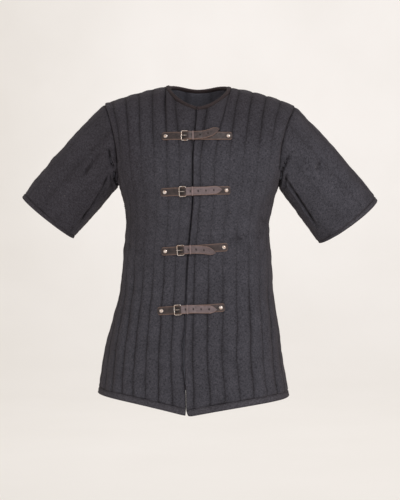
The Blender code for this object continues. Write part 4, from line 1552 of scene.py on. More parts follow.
@dataclass(frozen=True)
class Tailor:
    """Works out each panel's flat cloth from the form itself, and not from the mesh that is made of it."""

    steps: int = 60
    girths_at: tuple[float, ...] = (0.03, 0.3, 0.6, 0.9)

    def quarter(self, side: Side, face: Face) -> tuple[float, float, float]:
        """Greatest girth, length down the middle and area of a front or of half the back.

        Args:
            side: The side.
            face: Front or back.

        Returns:
            Girth, length and area.
        """
        lower, yoke = partial(side.lower, face), partial(side.yoke, face)
        around = spread(0, 1, self.steps)
        hem = HEM_BAND / (CHEST_LINE - BACK_HEM)
        girth = max(run_of([lower(u, rise) for u in around]) for rise in self.girths_at)
        length = run_of([lower(0.5, v) for v in spread(0, 1, 40)])
        length += run_of([yoke(0.5, v) for v in spread(0, 1, 30)])
        area = area_of(lower, around, spread(hem, 1, self.steps))
        return girth, length, area + area_of(yoke, spread(0, ARM_CORNER, 50), spread(0, 1, 30))

    def sleeve(self, side: Side) -> tuple[Cut, Cut]:
        """The cuts of a sleeve and of its cuff band, both all round.

        Args:
            side: The side.

        Returns:
            The two cuts.
        """
        around = spread(0, math.pi, self.steps)
        length = run_of([side.sleeve(Face.FRONT, 0.0, v) for v in spread(0, 1, 40)])
        band = 1 - CUFF_BAND / length
        armhole, cuff = (sum(run_of([side.sleeve(face, turn, along) for turn in around]) for face in Face)
                         for along in (0.0, 1.0))
        cloth, edge = (sum(area_of(partial(side.sleeve, face), around, rows) for face in Face)
                       for rows in (spread(0, band, 40), spread(band, 1, 4)))
        return (Cut.of(armhole, length, cloth),
                Cut.of(cuff, CUFF_BAND + BAND_EDGE / 2, edge + cuff * BAND_EDGE / 2))

    def band(self, run: float, width: float) -> Cut:
        """One layer of a band folded over its edge, which is one face and half of the edge."""
        layer = width + BAND_EDGE / 2
        return Cut.of(run, layer, run * layer)

    def cuts(self) -> dict[str, Cut]:
        """Every panel's cut, by its name."""
        around = spread(0, 1, self.steps)
        quarters = [(side, face) for side in SIDES for face in Face]
        hem = sum(run_of([side.lower(face, u, 0.0) for u in around]) for side, face in quarters)
        neck = sum(run_of([side.neck_edge(face, u, 0.0) for u in around]) for side, face in quarters)
        halves = [self.quarter(side, Face.BACK) for side in SIDES]
        widths, lengths, areas = zip(*halves)
        found = {"back": Cut.of(sum(widths), lengths[-1], sum(areas)),
                 "hem_band": self.band(hem, HEM_BAND), "neck_binding": self.band(neck, NECK_BAND)}
        for side in SIDES:
            found[f"front_{side.name}"] = Cut.of(*self.quarter(side, Face.FRONT))
            found[f"sleeve_{side.name}"], found[f"cuff_band_{side.name}"] = self.sleeve(side)
        return found


@dataclass
class QuiltedPanel:
    """One panel of the jacket or one of its bands."""

    name: str
    slot: str
    fullness: float = 0.40

    def build(self, skin: Skin, tree: TreeModifier, outer: bpy.types.Material,
              lining: bpy.types.Material) -> Wall:
        """Makes the panel and quilts it.

        Args:
            skin: The cloth.
            tree: The quilting.
            outer: The material outside.
            lining: The material inside.

        Returns:
            The wall that the panel was made from.
        """
        wall = Wall(skin, self.name)
        self.piece = place_piece(f"{self.name}_cloth", wall.mesh())
        tree.run(self.piece, {"Fullness": self.fullness, "Outer cloth": outer, "Lining": lining})
        tell(self.piece)
        return wall

    def dress(self) -> None:
        """Joins the panel to the frame."""
        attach(self.piece, BODY_NAME)
        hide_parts(self.name)


@dataclass
class Stitching:
    """The stitches along a panel's lines of quilting."""

    panel: str
    slot: str
    pitch: float = 0.0056
    length: float = 0.0044
    thread: float = 0.00036
    seed: int = SEED

    def lines(self, skin: Skin, wall: Wall, piece: bpy.types.Object) -> list[np.ndarray]:
        """Where the lines run on the finished panel.

        Args:
            skin: The cloth.
            wall: The panel's wall.
            piece: The quilted panel.

        Returns:
            The points of each line.
        """
        places = np.empty(len(piece.data.vertices) * 3, np.float32)
        piece.data.vertices.foreach_get("co", places)
        places = places.reshape(-1, 3)
        runs = []
        for grid in skin.grids:
            if grid.panel != self.panel:
                continue
            rows, columns = grid.channel.shape
            index = grid.first + np.arange(rows * columns).reshape(rows, columns)
            local = np.vectorize(wall.outer_index.get)(index)
            points = places[local]
            normals = skin.normals[skin.to[index]]
            points = points + normals * self.thread * 0.6
            if not grid.lines:
                for row in (1, rows - 2):
                    runs.append(points[row])
                continue
            for k in range(math.ceil(grid.channel.min() + 0.05), math.floor(grid.channel.max() - 0.05) + 1):
                run = []
                for i in range(1, rows - 1):
                    if grid.channel[i, 0] + 0.05 < k < grid.channel[i, -1] - 0.05:
                        run.append([np.interp(k, grid.channel[i], points[i, :, n]) for n in range(3)])
                if len(run) > 4:
                    runs.append(np.array(run))
        return runs

    def build(self, skin: Skin, wall: Wall, piece: bpy.types.Object, tree: TreeModifier,
              thread: bpy.types.Material) -> bpy.types.Object:
        """Lays the stitches and joins them to the frame.

        Args:
            skin: The cloth.
            wall: The panel's wall.
            piece: The quilted panel.
            tree: The tree that is used.
            thread: The material of the thread.

        Returns:
            The stitches.
        """
        points, edges = [], []
        for run in self.lines(skin, wall, piece):
            first = len(points)
            points += run.tolist()
            edges += [(first + i, first + i + 1) for i in range(len(run) - 1)]
        mesh = bpy.data.meshes.new("lines")
        mesh.from_pydata(points, edges, [])
        stitches = place_piece(f"{self.panel}_stitches", mesh)
        tree.run(stitches, {"Pitch": self.pitch, "Length": self.length, "Thread": self.thread,
                            "Seed": self.seed, "Material": thread})
        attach(stitches, BODY_NAME)
        tell(stitches)
        return stitches


# ---------------------------------------------------------------- straps and buckles


class StrapLine:
    """Places on the cloth along one closure: distance along the strap, across it, and away from it."""

    SAMPLE = 0.002
    BLUR = 7

    def __init__(self, start: tuple[float, float], end: tuple[float, float], tree: BVHTree) -> None:
        """Finds the cloth under a strap.

        Args:
            start, end: The two rivets in the front view.
            tree: The fronts' surface.
        """
        begin, finish = np.array(start), np.array(end)
        self.length = float(np.linalg.norm(finish - begin))
        way = (finish - begin) / self.length
        self.stations = np.arange(-0.02, self.length + 0.02, self.SAMPLE)

        def cloth(offset: float) -> np.ndarray:
            """The surface along the strap, carried straight across the opening."""
            flat = begin + way * self.stations[:, None] + np.array([-way[1], way[0]]) * offset
            hits = [tree.ray_cast(Vector((x, -1.0, z)), Vector((0, 1, 0)))[0] for x, z in flat]
            depths = np.array([0.0 if hit is None else hit.y for hit in hits])
            front = depths < -0.02
            depths = np.interp(self.stations, self.stations[front], depths[front])
            return np.stack([flat[:, 0], depths, flat[:, 1]], axis=1)

        kernel = np.ones(self.BLUR) / self.BLUR
        pad = self.BLUR // 2

        def blurred(rows: np.ndarray) -> np.ndarray:
            """Rows of points, smoothed."""
            padded = np.pad(rows, ((pad, pad), (0, 0)), mode="reflect", reflect_type="odd")
            return np.stack([np.convolve(column, kernel, "valid") for column in padded.T], axis=1)

        reach = STRAP_WIDTH / 2
        raw, above, below = cloth(0.0), cloth(reach), cloth(-reach)
        self.line = blurred(raw)
        self.line[:, 1] -= np.max(self.line[:, 1] - np.minimum(raw[:, 1], (above + below)[:, 1] / 2))
        up = blurred(above) - blurred(below)
        self.up = up / np.linalg.norm(up, axis=1, keepdims=True)
        tangent = np.gradient(self.line, axis=0)
        normal = np.cross(tangent, self.up)
        self.out = normal / np.linalg.norm(normal, axis=1, keepdims=True)
        self.out *= -np.sign(self.out[:, 1:2])

    def read(self, rows: np.ndarray, s: float) -> np.ndarray:
        """A row of values between two stations."""
        return np.array([np.interp(s, self.stations, column) for column in rows.T])

    def place(self, s: float, t: float = 0.0, h: float = 0.0) -> np.ndarray:
        """The point s along the strap, t across it and h away from the cloth."""
        return self.read(self.line, s) + self.read(self.up, s) * t + self.read(self.out, s) * (h + REST)

    def matrix(self, s: float, h: float) -> Matrix:
        """Axes at a place: X along the strap, Y across it and Z away from the cloth.

        Args:
            s: Distance along the strap from its right rivet.
            h: Height over the cloth.

        Returns:
            The matrix.
        """
        out = Vector(self.read(self.out, s)).normalized()
        up = Vector(self.read(self.up, s))
        along = up.cross(out).normalized()
        turn = Matrix((along, out.cross(along), out)).transposed()
        return Matrix.Translation(Vector(self.place(s, 0.0, h))) @ turn.to_4x4()


def leather_heights() -> tuple[float, float, float, float]:
    """Heights over the cloth of a lying strap, the bars, the fold round a bar and a second layer."""
    layer = LEATHER / 2
    return layer, LEATHER + CLEAR + WIRE, WIRE + CLEAR + layer, LEATHER + CLEAR + layer


def evaluated_mesh(piece: bpy.types.Object) -> bpy.types.Mesh:
    """A new mesh of what an object's modifiers, or its curve, make of it."""
    bpy.context.view_layer.update()
    graph = bpy.context.evaluated_depsgraph_get()
    return bpy.data.meshes.new_from_object(piece.evaluated_get(graph), depsgraph=graph)


def facing_out(bm: bmesh.types.BMesh, name: str) -> bpy.types.Mesh:
    """The smooth mesh of a closed shape, with its faces outwards."""
    bmesh.ops.recalc_face_normals(bm, faces=bm.faces[:])
    if bm.calc_volume(signed=True) < 0:
        bmesh.ops.reverse_faces(bm, faces=bm.faces[:])
    mesh = bpy.data.meshes.new(name)
    bm.to_mesh(mesh)
    bm.free()
    mesh.shade_smooth()
    return mesh


def closed_tube(name: str, rings: np.ndarray, edge: np.ndarray,
                rubbed: np.ndarray | None = None) -> bpy.types.Mesh:
    """A closed mesh through rings of points, with its ends capped.

    Args:
        name: The mesh's name.
        rings: Points as (rings, points in a ring, 3).
        edge: How much each point of a ring counts as the leather's edge.
        rubbed: How pale each ring is painted, for wear and painted highlight; below zero, how dark, for
            painted shadow.

    Returns:
        The mesh, facing out.
    """
    count, around = rings.shape[:2]
    bm = bmesh.new()
    verts = [[bm.verts.new(point) for point in ring] for ring in rings]
    for a, b in zip(verts, verts[1:]):
        for i in range(around):
            j = (i + 1) % around
            bm.faces.new([a[i], a[j], b[j], b[i]])
    half = around // 2
    for ring in (verts[0], verts[-1]):
        for i in range(half - 1):
            corners = [ring[i], ring[i + 1], ring[around - 2 - i], ring[around - 1 - i]]
            bm.faces.new(corners if ring is verts[-1] else corners[::-1])
    mesh = facing_out(bm, name)
    pale = np.zeros(count) if rubbed is None else rubbed
    for label, values in (("edge", np.tile(edge, count)), ("rubbed", np.repeat(pale, around))):
        mesh.attributes.new(label, "FLOAT", "POINT").data.foreach_set("value", values.astype(np.float32))
    return mesh


@dataclass(frozen=True)
class LeatherProfile:
    """The cross-section of a strap: flat, with rounded and slightly beaded edges."""

    across: tuple[float, ...] = (-1.0, -0.975, -0.91, -0.80, -0.4, 0.0, 0.4, 0.80, 0.91, 0.975, 1.0)
    thick: tuple[float, ...] = (0.30, 0.74, 1.0, 0.97, 0.94, 0.94, 0.94, 0.97, 1.0, 0.74, 0.30)
    edge: tuple[float, ...] = (1.0, 1.0, 0.8, 0.12, 0.0, 0.0, 0.0, 0.12, 0.8, 1.0, 1.0)

    def ring(self) -> list[tuple[float, float]]:
        """The profile as (across, thickness) pairs, over the top and back beneath."""
        top = list(zip(self.across, self.thick))
        return top + [(t, -e) for t, e in reversed(top)]

    def edges(self) -> np.ndarray:
        """How much each point of the ring is the leather's edge."""
        return np.array(self.edge + self.edge[::-1])


PROFILE = LeatherProfile()


@dataclass
class Closure:
    """One fastened strap and buckle. Distances run along the strap from its right rivet."""

    number: int
    right_rivet: tuple[float, float]
    left_rivet: tuple[float, float]
    buckle: float
    keeper: float
    tip: float
    tip_rise: float
    tip_lift: float
    tip_twist: float = 0.0
    # How pale the loose tongue is painted, partly for wear and partly for painted highlight.
    tongue_wear_and_highlight: float = 0.7

    def tongue_path(self) -> list[tuple[float, float, float, float, float]]:
        """(along, across, away, half-width, twist) down the tongue."""
        flat, bar, wrap, second = leather_heights()
        heel = self.buckle + FRAME_REACH
        over_bar = bar + wrap + LEATHER + CLEAR
        over_fold = second + LEATHER + CLEAR
        rng = np.random.default_rng(SEED + self.number)
        waves = rng.uniform(0, FULL_TURN, 3)
        stops = set(np.round(np.arange(-STRAP_END, self.tip, 0.0012), 6))
        stops |= set(np.round(-STRAP_END + np.array([0.0002, 0.0005, 0.0009]), 6))
        stops |= set(np.round(self.tip - np.array([0.0, 0.0003, 0.0008, 0.0016]), 6))
        path = []
        for s in sorted(stops):
            climb = smooth((s - self.buckle + 0.006) / 0.013)
            settle = smooth((s - heel - 0.001) / 0.009)
            drop = smooth((s - heel - FOLD - 0.002) / 0.010)
            h = flat + (over_bar - flat) * climb + (over_fold - over_bar) * settle
            h += (second - over_fold) * drop
            loose = max(0.0, s - self.keeper) / (self.tip - self.keeper)
            h += 0.0004 * loose * (1 + math.sin(s * 190 + waves[0]))
            across = self.tip_rise * loose**2 + 0.00025 * math.sin(s * 120 + waves[1])
            start, left = s + STRAP_END, self.tip - s
            square = (1 - max(0.0, 1 - start / 0.007) ** 3) ** (1 / 2.2)
            point = (1 - max(0.0, 1 - (left + 0.0004) / 0.017) ** 1.7) ** 0.85
            width = STRAP_WIDTH / 2 * max(0.12, min(square, point))
            path.append((s, across, h + self.tip_lift * loose**3, width, self.tip_twist * loose**3))
        return path

    def chape_path(self, length: float) -> list[tuple[float, float, float, float, float]]:
        """The same down the chape: in from the left rivet, round the heel bar, and back.

        Args:
            length: The length in metres.

        Returns:
            The path's rows.
        """
        flat, bar, wrap, second = leather_heights()
        heel = self.buckle + FRAME_REACH
        end = length + STRAP_END
        path = []
        stops = list(np.arange(heel, end - 0.001, 0.0014)) + [end - 0.0009, end - 0.0005, end - 0.0002, end]
        for s in reversed(stops):
            square = (1 - max(0.0, 1 - (end - s) / 0.007) ** 3) ** (1 / 2.2)
            path.append((s, 0.0, flat, STRAP_WIDTH / 2 * max(0.12, square), 0.0))
        for angle in spread(-90, -270, 14)[1:]:
            turn = math.radians(angle)
            path.append((heel + wrap * math.cos(turn), 0.0, bar + wrap * math.sin(turn),
                         STRAP_WIDTH / 2, 0.0))
        for s in spread(0.0012, FOLD, 18):
            h = bar + wrap + (second - bar - wrap) * smooth(s / 0.010)
            path.append((heel + s, 0.0, h, STRAP_WIDTH / 2, 0.0))
        return path

    def ribbon(self, line: StrapLine, name: str, path: Sequence[tuple]) -> bpy.types.Object:
        """A strap of leather along a path.

        Args:
            line: The strap's line over the cloth.
            name: Its name.
            path: The rows of the path.

        Returns:
            The piece.
        """
        flat = np.array([(row[0], row[2]) for row in path])
        ways = np.gradient(flat, axis=0)
        ways /= np.linalg.norm(ways, axis=1, keepdims=True)
        rings = []
        for (s, across, h, half, twist), (ds, dh) in zip(path, ways):
            ring = []
            for t, thick in PROFILE.ring():
                offset = thick * LEATHER / 2
                lean = math.sin(twist) * t * half
                ring.append(line.place(s - dh * offset, across + t * half * math.cos(twist),
                                       h + ds * offset + lean))
            rings.append(ring)
        places = np.array([row[0] for row in path])
        rubbed = np.zeros(len(places))
        if name.startswith("tongue"):
            # On the tongue: painted shadow inside the buckle's frame, lighter painted shade before it, and
            # past the buckle the pale colour, partly wear and partly painted highlight.
            past = places - self.buckle
            shadowed_window = smooth((past + 0.0085) / 0.002) * smooth((self.buckle + 0.0065 - places) / 0.003)
            rubbed = smooth((past - 0.008) / 0.006) * self.tongue_wear_and_highlight - shadowed_window * 0.85 - 0.25 * (1 - shadowed_window)
            rubbed = np.where(places > self.buckle + 0.009, np.maximum(rubbed, self.tongue_wear_and_highlight * 0.9), rubbed)
        return place_piece(name, closed_tube(name, np.array(rings), PROFILE.edges(), rubbed))

    def punch(self, strap: bpy.types.Object, matrices: Sequence[Matrix],
              sizes: Sequence[tuple[float, float]]) -> None:
        """Cuts round-ended holes through a strap.

        Args:
            strap: The strap.
            matrices: The place of each hole.
            sizes: The length and width of each hole.
        """
        bm = bmesh.new()
        for matrix, (long, wide) in zip(matrices, sizes):
            outline = []
            for angle in spread(0, FULL_TURN, 20)[:-1]:
                shift = math.copysign((long - wide) / 2, math.cos(angle)) if long > wide else 0.0
                outline.append((math.cos(angle) * wide / 2 + shift, math.sin(angle) * wide / 2))
            top = [bm.verts.new(matrix @ Vector((x, y, 0.012))) for x, y in outline]
            low = [bm.verts.new(matrix @ Vector((x, y, -0.012))) for x, y in outline]
            bm.faces.new(top)
            bm.faces.new(low[::-1])
            for i in range(len(outline)):
                j = (i + 1) % len(outline)
                bm.faces.new([top[i], low[i], low[j], top[j]])
        bmesh.ops.recalc_face_normals(bm, faces=bm.faces[:])
        mesh = bpy.data.meshes.new("punch")
        bm.to_mesh(mesh)
        bm.free()
        cutter = place_piece("punch", mesh)
        modifier = strap.modifiers.new("holes", "BOOLEAN")
        modifier.object = cutter
        modifier.operation = "DIFFERENCE"
        made = evaluated_mesh(strap)
        strap.modifiers.remove(modifier)
        strap.data = made
        bpy.data.objects.remove(cutter)
        made.set_sharp_from_angle(angle=math.radians(50))

    def wire(self, name: str, points: Sequence[np.ndarray], radii: Sequence[float],
             cyclic: bool) -> bpy.types.Object:
        """A round wire along points, as a mesh.

        Args:
            name: Its name.
            points: The points.
            radii: The radius at each point.
            cyclic: Whether it closes on itself.

        Returns:
            The piece.
        """
        curve = bpy.data.curves.new(name, "CURVE")
        curve.dimensions = "3D"
        curve.bevel_depth = 1.0
        curve.bevel_resolution = 4
        curve.use_fill_caps = not cyclic
        spline = curve.splines.new("POLY")
        spline.points.add(len(points) - 1)
        for target, point, radius in zip(spline.points, points, radii):
            target.co = (*point, 1.0)
            target.radius = radius
        spline.use_cyclic_u = cyclic
        maker = bpy.data.objects.new(name, curve)
        bpy.context.scene.collection.objects.link(maker)
        mesh = evaluated_mesh(maker)
        bpy.data.objects.remove(maker)
        bm = bmesh.new()
        bm.from_mesh(mesh)
        bmesh.ops.remove_doubles(bm, verts=bm.verts[:], dist=1e-6)
        bmesh.ops.recalc_face_normals(bm, faces=bm.faces[:])
        bm.to_mesh(mesh)
        bm.free()
        mesh.shade_smooth()
        mesh.materials.clear()
        return place_piece(name, mesh)

    def frame_piece(self, line: StrapLine) -> bpy.types.Object:
        """The buckle's frame: an oblong of wire with round corners, thinner at its end bar.

        Args:
            line: The strap's line over the cloth.

        Returns:
            The piece.
        """
        _, bar, _, _ = leather_heights()
        points, radii = [], []
        for quarter in range(4):
            sx = 1 if quarter in (0, 3) else -1
            sy = 1 if quarter < 2 else -1
            for angle in spread(90 * quarter, 90 * (quarter + 1), 7):
                turn = math.radians(angle)
                s = sx * (FRAME_REACH - FRAME_CORNER) + FRAME_CORNER * math.cos(turn)
                t = sy * (FRAME_HALF_HEIGHT - FRAME_CORNER) + FRAME_CORNER * math.sin(turn)
                points.append(line.place(self.buckle + s, t, bar))
                radii.append(WIRE * (1.06 if abs(abs(t) - FRAME_HALF_HEIGHT) < 0.001 else 1.0))
        return self.wire(f"buckle_frame_{self.number}", points, radii, True)

    def prong_piece(self, line: StrapLine) -> bpy.types.Object:
        """The prong: an eye round the heel bar, then out to rest over the end bar.

        Args:
            line: The strap's line over the cloth.

        Returns:
            The piece.
        """
        _, bar, _, _ = leather_heights()
        heel, end = self.buckle + FRAME_REACH, self.buckle - FRAME_REACH
        eye = WIRE + 2 * CLEAR + PRONG
        points, radii = [], []
        for angle in spread(-150, 110, 20):
            turn = math.radians(angle)
            points.append(line.place(heel + eye * math.cos(turn), 0.0, bar + eye * math.sin(turn)))
            radii.append(PRONG)
        for part in spread(0.25, 1.0, 3):
            points.append(line.place(heel + (end - heel) * part, 0.0, bar + eye))
            radii.append(PRONG * (1.12 - 0.2 * part))
        points.append(line.place(end - PRONG_PAST * 0.7, 0.0, bar + eye - 0.0001))
        radii.append(PRONG * 0.8)
        points.append(line.place(end - PRONG_PAST, 0.0, bar + eye - 0.0002))
        radii.append(PRONG * 0.4)
        return self.wire(f"buckle_prong_{self.number}", points, radii, False)

    def keeper_piece(self, line: StrapLine) -> bpy.types.Object:
        """A narrow loop over the tongue, whose ends go down beside the chape.

        Args:
            line: The strap's line over the cloth.

        Returns:
            The piece.
        """
        _, _, _, second = leather_heights()
        top = second + LEATHER + CLEAR + LEATHER / 2 + CLEAR + KEEPER_THICKNESS / 2
        side = STRAP_WIDTH / 2 + CLEAR + KEEPER_THICKNESS / 2
        bend = 0.0012
        path = [(side, CLEAR, 1, 0), (side, top - bend, 1, 0)]
        for angle in (22.5, 45, 67.5):
            turn = math.radians(angle)
            path.append((side - bend + bend * math.cos(turn), top - bend + bend * math.sin(turn),
                         math.cos(turn), math.sin(turn)))
        path.append((side - bend, top, 0, 1))
        path += [(x, top, 0, 1) for x in (0.005, 0.0)]
        path += [(-t, h, -a, b) for t, h, a, b in reversed(path[:-1])]
        half = KEEPER_WIDTH / 2
        outline = ((-1.0, 0.45), (-0.86, 0.9), (-0.45, 1.0), (0.45, 1.0), (0.86, 0.9), (1.0, 0.45))
        ring_shape = list(outline) + [(a, -b) for a, b in reversed(outline)]
        rings = []
        for t, h, out_t, out_h in path:
            ring = []
            for a, b in ring_shape:
                offset = b * KEEPER_THICKNESS / 2
                ring.append(line.place(self.keeper + a * half, t + out_t * offset, h + out_h * offset))
            rings.append(ring)
        edge = np.array([1.0, 0.8, 0.1, 0.1, 0.8, 1.0] * 2)
        name = f"keeper_loop_{self.number}"
        # The keeper is painted pale all over, as a painted highlight.
        return place_piece(name, closed_tube(name, np.array(rings), edge, np.full(len(rings), 0.95)))

    def rivet_piece(self, line: StrapLine, s: float, where: str) -> bpy.types.Object:
        """A domed head with a thin flange, turned about its own axis.

        Args:
            line: The strap's line over the cloth.
            s: Distance along the strap from its right rivet.
            where: Which end of the strap.

        Returns:
            The piece.
        """
        profile = [(0.0, RIVET_HEIGHT)]
        profile += [(RIVET_RADIUS * 0.90 * math.cos(math.radians(a)),
                     0.0005 + (RIVET_HEIGHT - 0.0005) * math.sin(math.radians(a))) for a in spread(78, 6, 9)]
        profile += [(RIVET_RADIUS * 0.93, 0.0006), (RIVET_RADIUS * 0.985, 0.0005), (RIVET_RADIUS, 0.0003),
                    (RIVET_RADIUS * 0.99, 0.0), (0.0, 0.0)]
        matrix = line.matrix(s, LEATHER + CLEAR)
        bm = bmesh.new()
        steps = 28
        rows = []
        for radius, height in profile:
            if radius == 0.0:
                rows.append([bm.verts.new(matrix @ Vector((0, 0, height)))])
                continue
            rows.append([bm.verts.new(matrix @ Vector((radius * math.cos(FULL_TURN * i / steps),
                                                       radius * math.sin(FULL_TURN * i / steps), height)))
                         for i in range(steps)])
        for a, b in zip(rows, rows[1:]):
            for i in range(steps):
                j = (i + 1) % steps
                corners = [a[i % len(a)], a[j % len(a)], b[j % len(b)], b[i % len(b)]]
                bm.faces.new(list(dict.fromkeys(corners)))
        name = f"rivet_{where}_{self.number}_head"
        return place_piece(name, facing_out(bm, name))

    def build(self, tree: BVHTree, leather: bpy.types.Material, buckle: bpy.types.Material,
              rivet: bpy.types.Material) -> None:
        """Makes the closure's pieces and joins them to the frame.

        Args:
            tree: The tree that is used.
            leather: The straps' material.
            buckle: The buckle's material.
            rivet: The rivets' material.
        """
        line = StrapLine(self.right_rivet, self.left_rivet, tree)
        _, bar, _, second = leather_heights()
        n = self.number
        tongue = self.ribbon(line, f"tongue_strap_{n}", self.tongue_path())
        places = [line.matrix(self.buckle + 0.0015, bar)]
        sizes = [(0.0085, 2 * (PRONG + CLEAR) + 0.0008)]
        s = self.buckle + HOLE_PITCH
        while s < self.tip - 0.010:
            loose = max(0.0, s - self.keeper) / (self.tip - self.keeper)
            place = line.matrix(s, second) @ Matrix.Translation((0, self.tip_rise * loose**2, 0))
            places.append(place)
            sizes.append((2 * HOLE_RADIUS, 2 * HOLE_RADIUS))
            s += HOLE_PITCH
        self.punch(tongue, places, sizes)
        chape = self.ribbon(line, f"chape_strap_{n}", self.chape_path(line.length))
        self.punch(chape, [line.matrix(self.buckle + FRAME_REACH - 0.001, bar)],
                   [(0.0095, 2 * (PRONG + CLEAR) + 0.0008)])
        made = (
            (tongue, f"tongue_{n}", "strap_leather", leather),
            (chape, f"chape_{n}", "strap_leather", leather),
            (self.keeper_piece(line), f"keeper_{n}", "strap_leather", leather),
            (self.frame_piece(line), f"buckle_{n}", "buckle_metal", buckle),
            (self.prong_piece(line), f"prong_{n}", "buckle_metal", buckle),
            (self.rivet_piece(line, 0.0, "right"), f"rivet_right_{n}", "rivet_metal", rivet),
            (self.rivet_piece(line, line.length, "left"), f"rivet_left_{n}", "rivet_metal", rivet),
        )
        for piece, node, slot, material in made:
            piece.data.materials.clear()
            piece.data.materials.append(material)
            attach(piece, BODY_NAME)
            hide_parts(node)
            tell(piece)


CLOSURES = (
    Closure(1, (-0.0801, -0.1393), (0.0728, -0.1386), 0.0467, 0.0668, 0.1290, 0.015, 0.006, 0.35, 0.08),
    Closure(2, (-0.0815, -0.2765), (0.0677, -0.2721), 0.0433, 0.0672, 0.1380, 0.002, 0.000),
    Closure(3, (-0.0801, -0.4204), (0.0616, -0.4104), 0.0370, 0.0607, 0.1210, -0.012, 0.003, 0.55, 0.5),
    Closure(4, (-0.0893, -0.5648), (0.0539, -0.5568), 0.0396, 0.0626, 0.1330, -0.005, 0.001),
)


# ---------------------------------------------------------------- the studio


@dataclass(frozen=True)
class Studio:
    """A pale, seamless bowl with a soft key and fill, and the camera."""

    camera_at: tuple[float, float, float] = (0.0038, -3.2, -0.417)
    lens: float = 91.07
    floor: float = -1.35
    radius: float = 7.0
    bowl: Colour = field(default=shade(240, 236, 231))

    def build(self) -> None:
        """Makes the bowl, the lights and the camera."""
        self.build_bowl()
        self.light("key", (2.4, -3.2, 2.0), 1.3, 47.0)
        self.light("fill", (-2.6, -3.2, 0.6), 2.2, 4.0)
        self.light("back", (0.6, 3.6, 2.4), 2.0, 30.0)
        data = bpy.data.cameras.new("camera")
        data.lens = self.lens
        data.sensor_width = 36.0
        camera = bpy.data.objects.new("camera", data)
        camera.location = self.camera_at
        camera.rotation_euler = (math.pi / 2, 0.0, 0.0)
        bpy.context.scene.collection.objects.link(camera)
        bpy.context.scene.camera = camera
        view = bpy.context.scene.view_settings
        view.view_transform = "Standard"
        view.look = "None"
        world = bpy.data.worlds.new("world")
        world.use_nodes = True
        world.node_tree.nodes["Background"].inputs[0].default_value = self.bowl
        world.node_tree.nodes["Background"].inputs[1].default_value = 0.6
        bpy.context.scene.world = world

    def build_bowl(self) -> None:
        """A floor that turns up into a round wall."""
        bend = 2.0
        profile = [(0.0, self.floor), (self.radius - bend, self.floor)]
        profile += [(self.radius - bend + bend * math.sin(math.radians(a)),
                     self.floor + bend - bend * math.cos(math.radians(a))) for a in range(10, 91, 10)]
        profile += [(self.radius, 5.0)]
        steps = 64
        points = [(r * math.cos(FULL_TURN * i / steps), r * math.sin(FULL_TURN * i / steps), z)
                  for r, z in profile for i in range(steps)]
        faces = [[k * steps + i, k * steps + (i + 1) % steps,
                  (k + 1) * steps + (i + 1) % steps, (k + 1) * steps + i]
                 for k in range(len(profile) - 1) for i in range(steps)]
        mesh = bpy.data.meshes.new("backdrop")
        mesh.from_pydata(points, [], faces)
        mesh.shade_smooth()
        bowl = place_piece("backdrop", mesh)
        material, w, shader = new_material("pale_backdrop")
        space = w.add("ShaderNodeTexCoord").outputs["Object"]
        # The bowl glows to light the jacket softly; its glow is painted brighter towards +X and higher up,
        # with soft mottling, like light falling across the backdrop.
        mottled = w.math("MULTIPLY", w.between(w.noise(space, 1.4, 3.0), 0.3, 0.7), 0.25)
        across = w.add("ShaderNodeSeparateXYZ", {0: space}).outputs[0]
        height = w.add("ShaderNodeSeparateXYZ", {0: space}).outputs[2]
        lit = w.math("ADD", w.between(across, -1.8, -0.4, 0.0, 0.78), mottled)
        lit = w.math("MULTIPLY", lit, w.between(height, self.floor, self.floor + 1.2, 0.45, 1.0))
        shader.inputs["Base Color"].default_value = shade(160, 157, 153)
        shader.inputs["Roughness"].default_value = 1.0
        shader.inputs["Specular IOR Level"].default_value = 0.0
        w.feed(shader.inputs["Emission Color"], w.mix(lit, shade(226, 221, 215), shade(255, 251, 249)))
        shader.inputs["Emission Strength"].default_value = 0.66
        mesh.materials.append(material)

    def light(self, name: str, at: tuple[float, float, float], size: float, watts: float) -> None:
        """A soft square lamp aimed at the jacket.

        Args:
            name: Its name.
            at: Where it stands.
            size: Its width in metres.
            watts: Its power.
        """
        data = bpy.data.lights.new(name, "AREA")
        data.size = size
        data.energy = watts
        lamp = bpy.data.objects.new(name, data)
        lamp.location = at
        lamp.rotation_euler = (Vector((0, 0, -0.4)) - Vector(at)).to_track_quat("-Z", "Y").to_euler()
        bpy.context.scene.collection.objects.link(lamp)
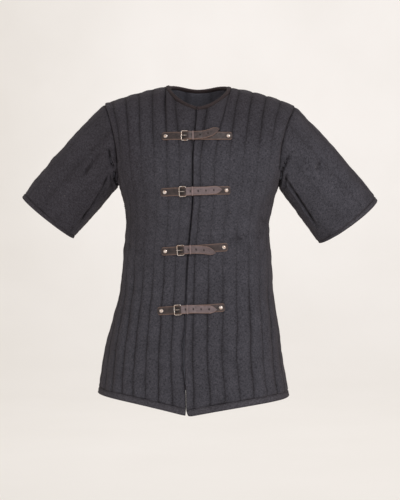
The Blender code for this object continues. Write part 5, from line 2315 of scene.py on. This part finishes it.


# ---------------------------------------------------------------- the jacket

# In each cloth, dark and light are its own heather; hollow and turned are painted shade.
QUILT = WovenCloth("quilted_cloth", dark=shade(30, 30, 35), light=shade(91, 90, 99), hollow=shade(17, 14, 17))
LINING = WovenCloth("lining_cloth", dark=shade(86, 88, 98), light=shade(122, 124, 136),
                    hollow=shade(44, 42, 48), lint=0.2, bump=0.35)
BINDING = WovenCloth("binding_cloth", dark=shade(40, 34, 36), light=shade(74, 64, 66),
                     hollow=shade(20, 16, 18), turned=shade(50, 42, 43), grazing_shade_strength=0.6,
                     lint=0.3, thread=0.0008)
BANDS = WovenCloth("band_cloth", dark=shade(36, 35, 40), light=shade(96, 94, 102), hollow=shade(18, 15, 18),
                   lint=0.6)
BUCKLE_METAL = AgedMetal(Metal.BUCKLE, bright=(0.74, 0.70, 0.68, 1), warm=(0.52, 0.36, 0.27, 1),
                         dull=(0.10, 0.08, 0.07, 1))
RIVET_METAL = AgedMetal(Metal.RIVET, bright=(0.80, 0.74, 0.71, 1), warm=(0.62, 0.44, 0.35, 1),
                        dull=(0.14, 0.11, 0.10, 1))


class Jacket:
    """The whole gambeson."""

    def build(self) -> None:
        """Builds the cloth, its stitches and its closures."""
        skin = Skin()
        quilting, stitching = quilting_tree(), stitching_tree()
        quilt, lining, binding, bands = (cloth.material() for cloth in (QUILT, LINING, BINDING, BANDS))
        thread = WaxedThread().material()
        cuts = Tailor().cuts()
        for name in skin.panel_names:
            banded = name in ("neck_binding", "hem_band") or name.startswith("cuff")
            outer = binding if name == "neck_binding" else bands if banded else quilt
            panel = QuiltedPanel(name, "binding_cloth" if banded else "quilted_cloth")
            wall = panel.build(skin, quilting, outer, outer if banded else lining)
            panel.dress()
            stitches = Stitching(name, panel.slot).build(skin, wall, panel.piece, stitching, thread)
        fronts = skin.to[np.concatenate([skin.raw_quads["front_right"], skin.raw_quads["front_left"]])]
        used, flat = np.unique(fronts, return_inverse=True)
        tree = BVHTree.FromPolygons(skin.raw[used].tolist(), flat.reshape(-1, 4).tolist())
        leather = OiledLeather().material()
        buckle, rivet = BUCKLE_METAL.material(), RIVET_METAL.material()
        for closure in CLOSURES:
            closure.build(tree, leather, buckle, rivet)


def main() -> None:
    """Builds the jacket in its studio."""
    logging.basicConfig(level=logging.INFO, format="%(name)s: %(message)s")
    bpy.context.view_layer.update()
    Jacket().build()
    Studio().build()
    bpy.context.view_layer.update()


if __name__ == "__main__":
    main()
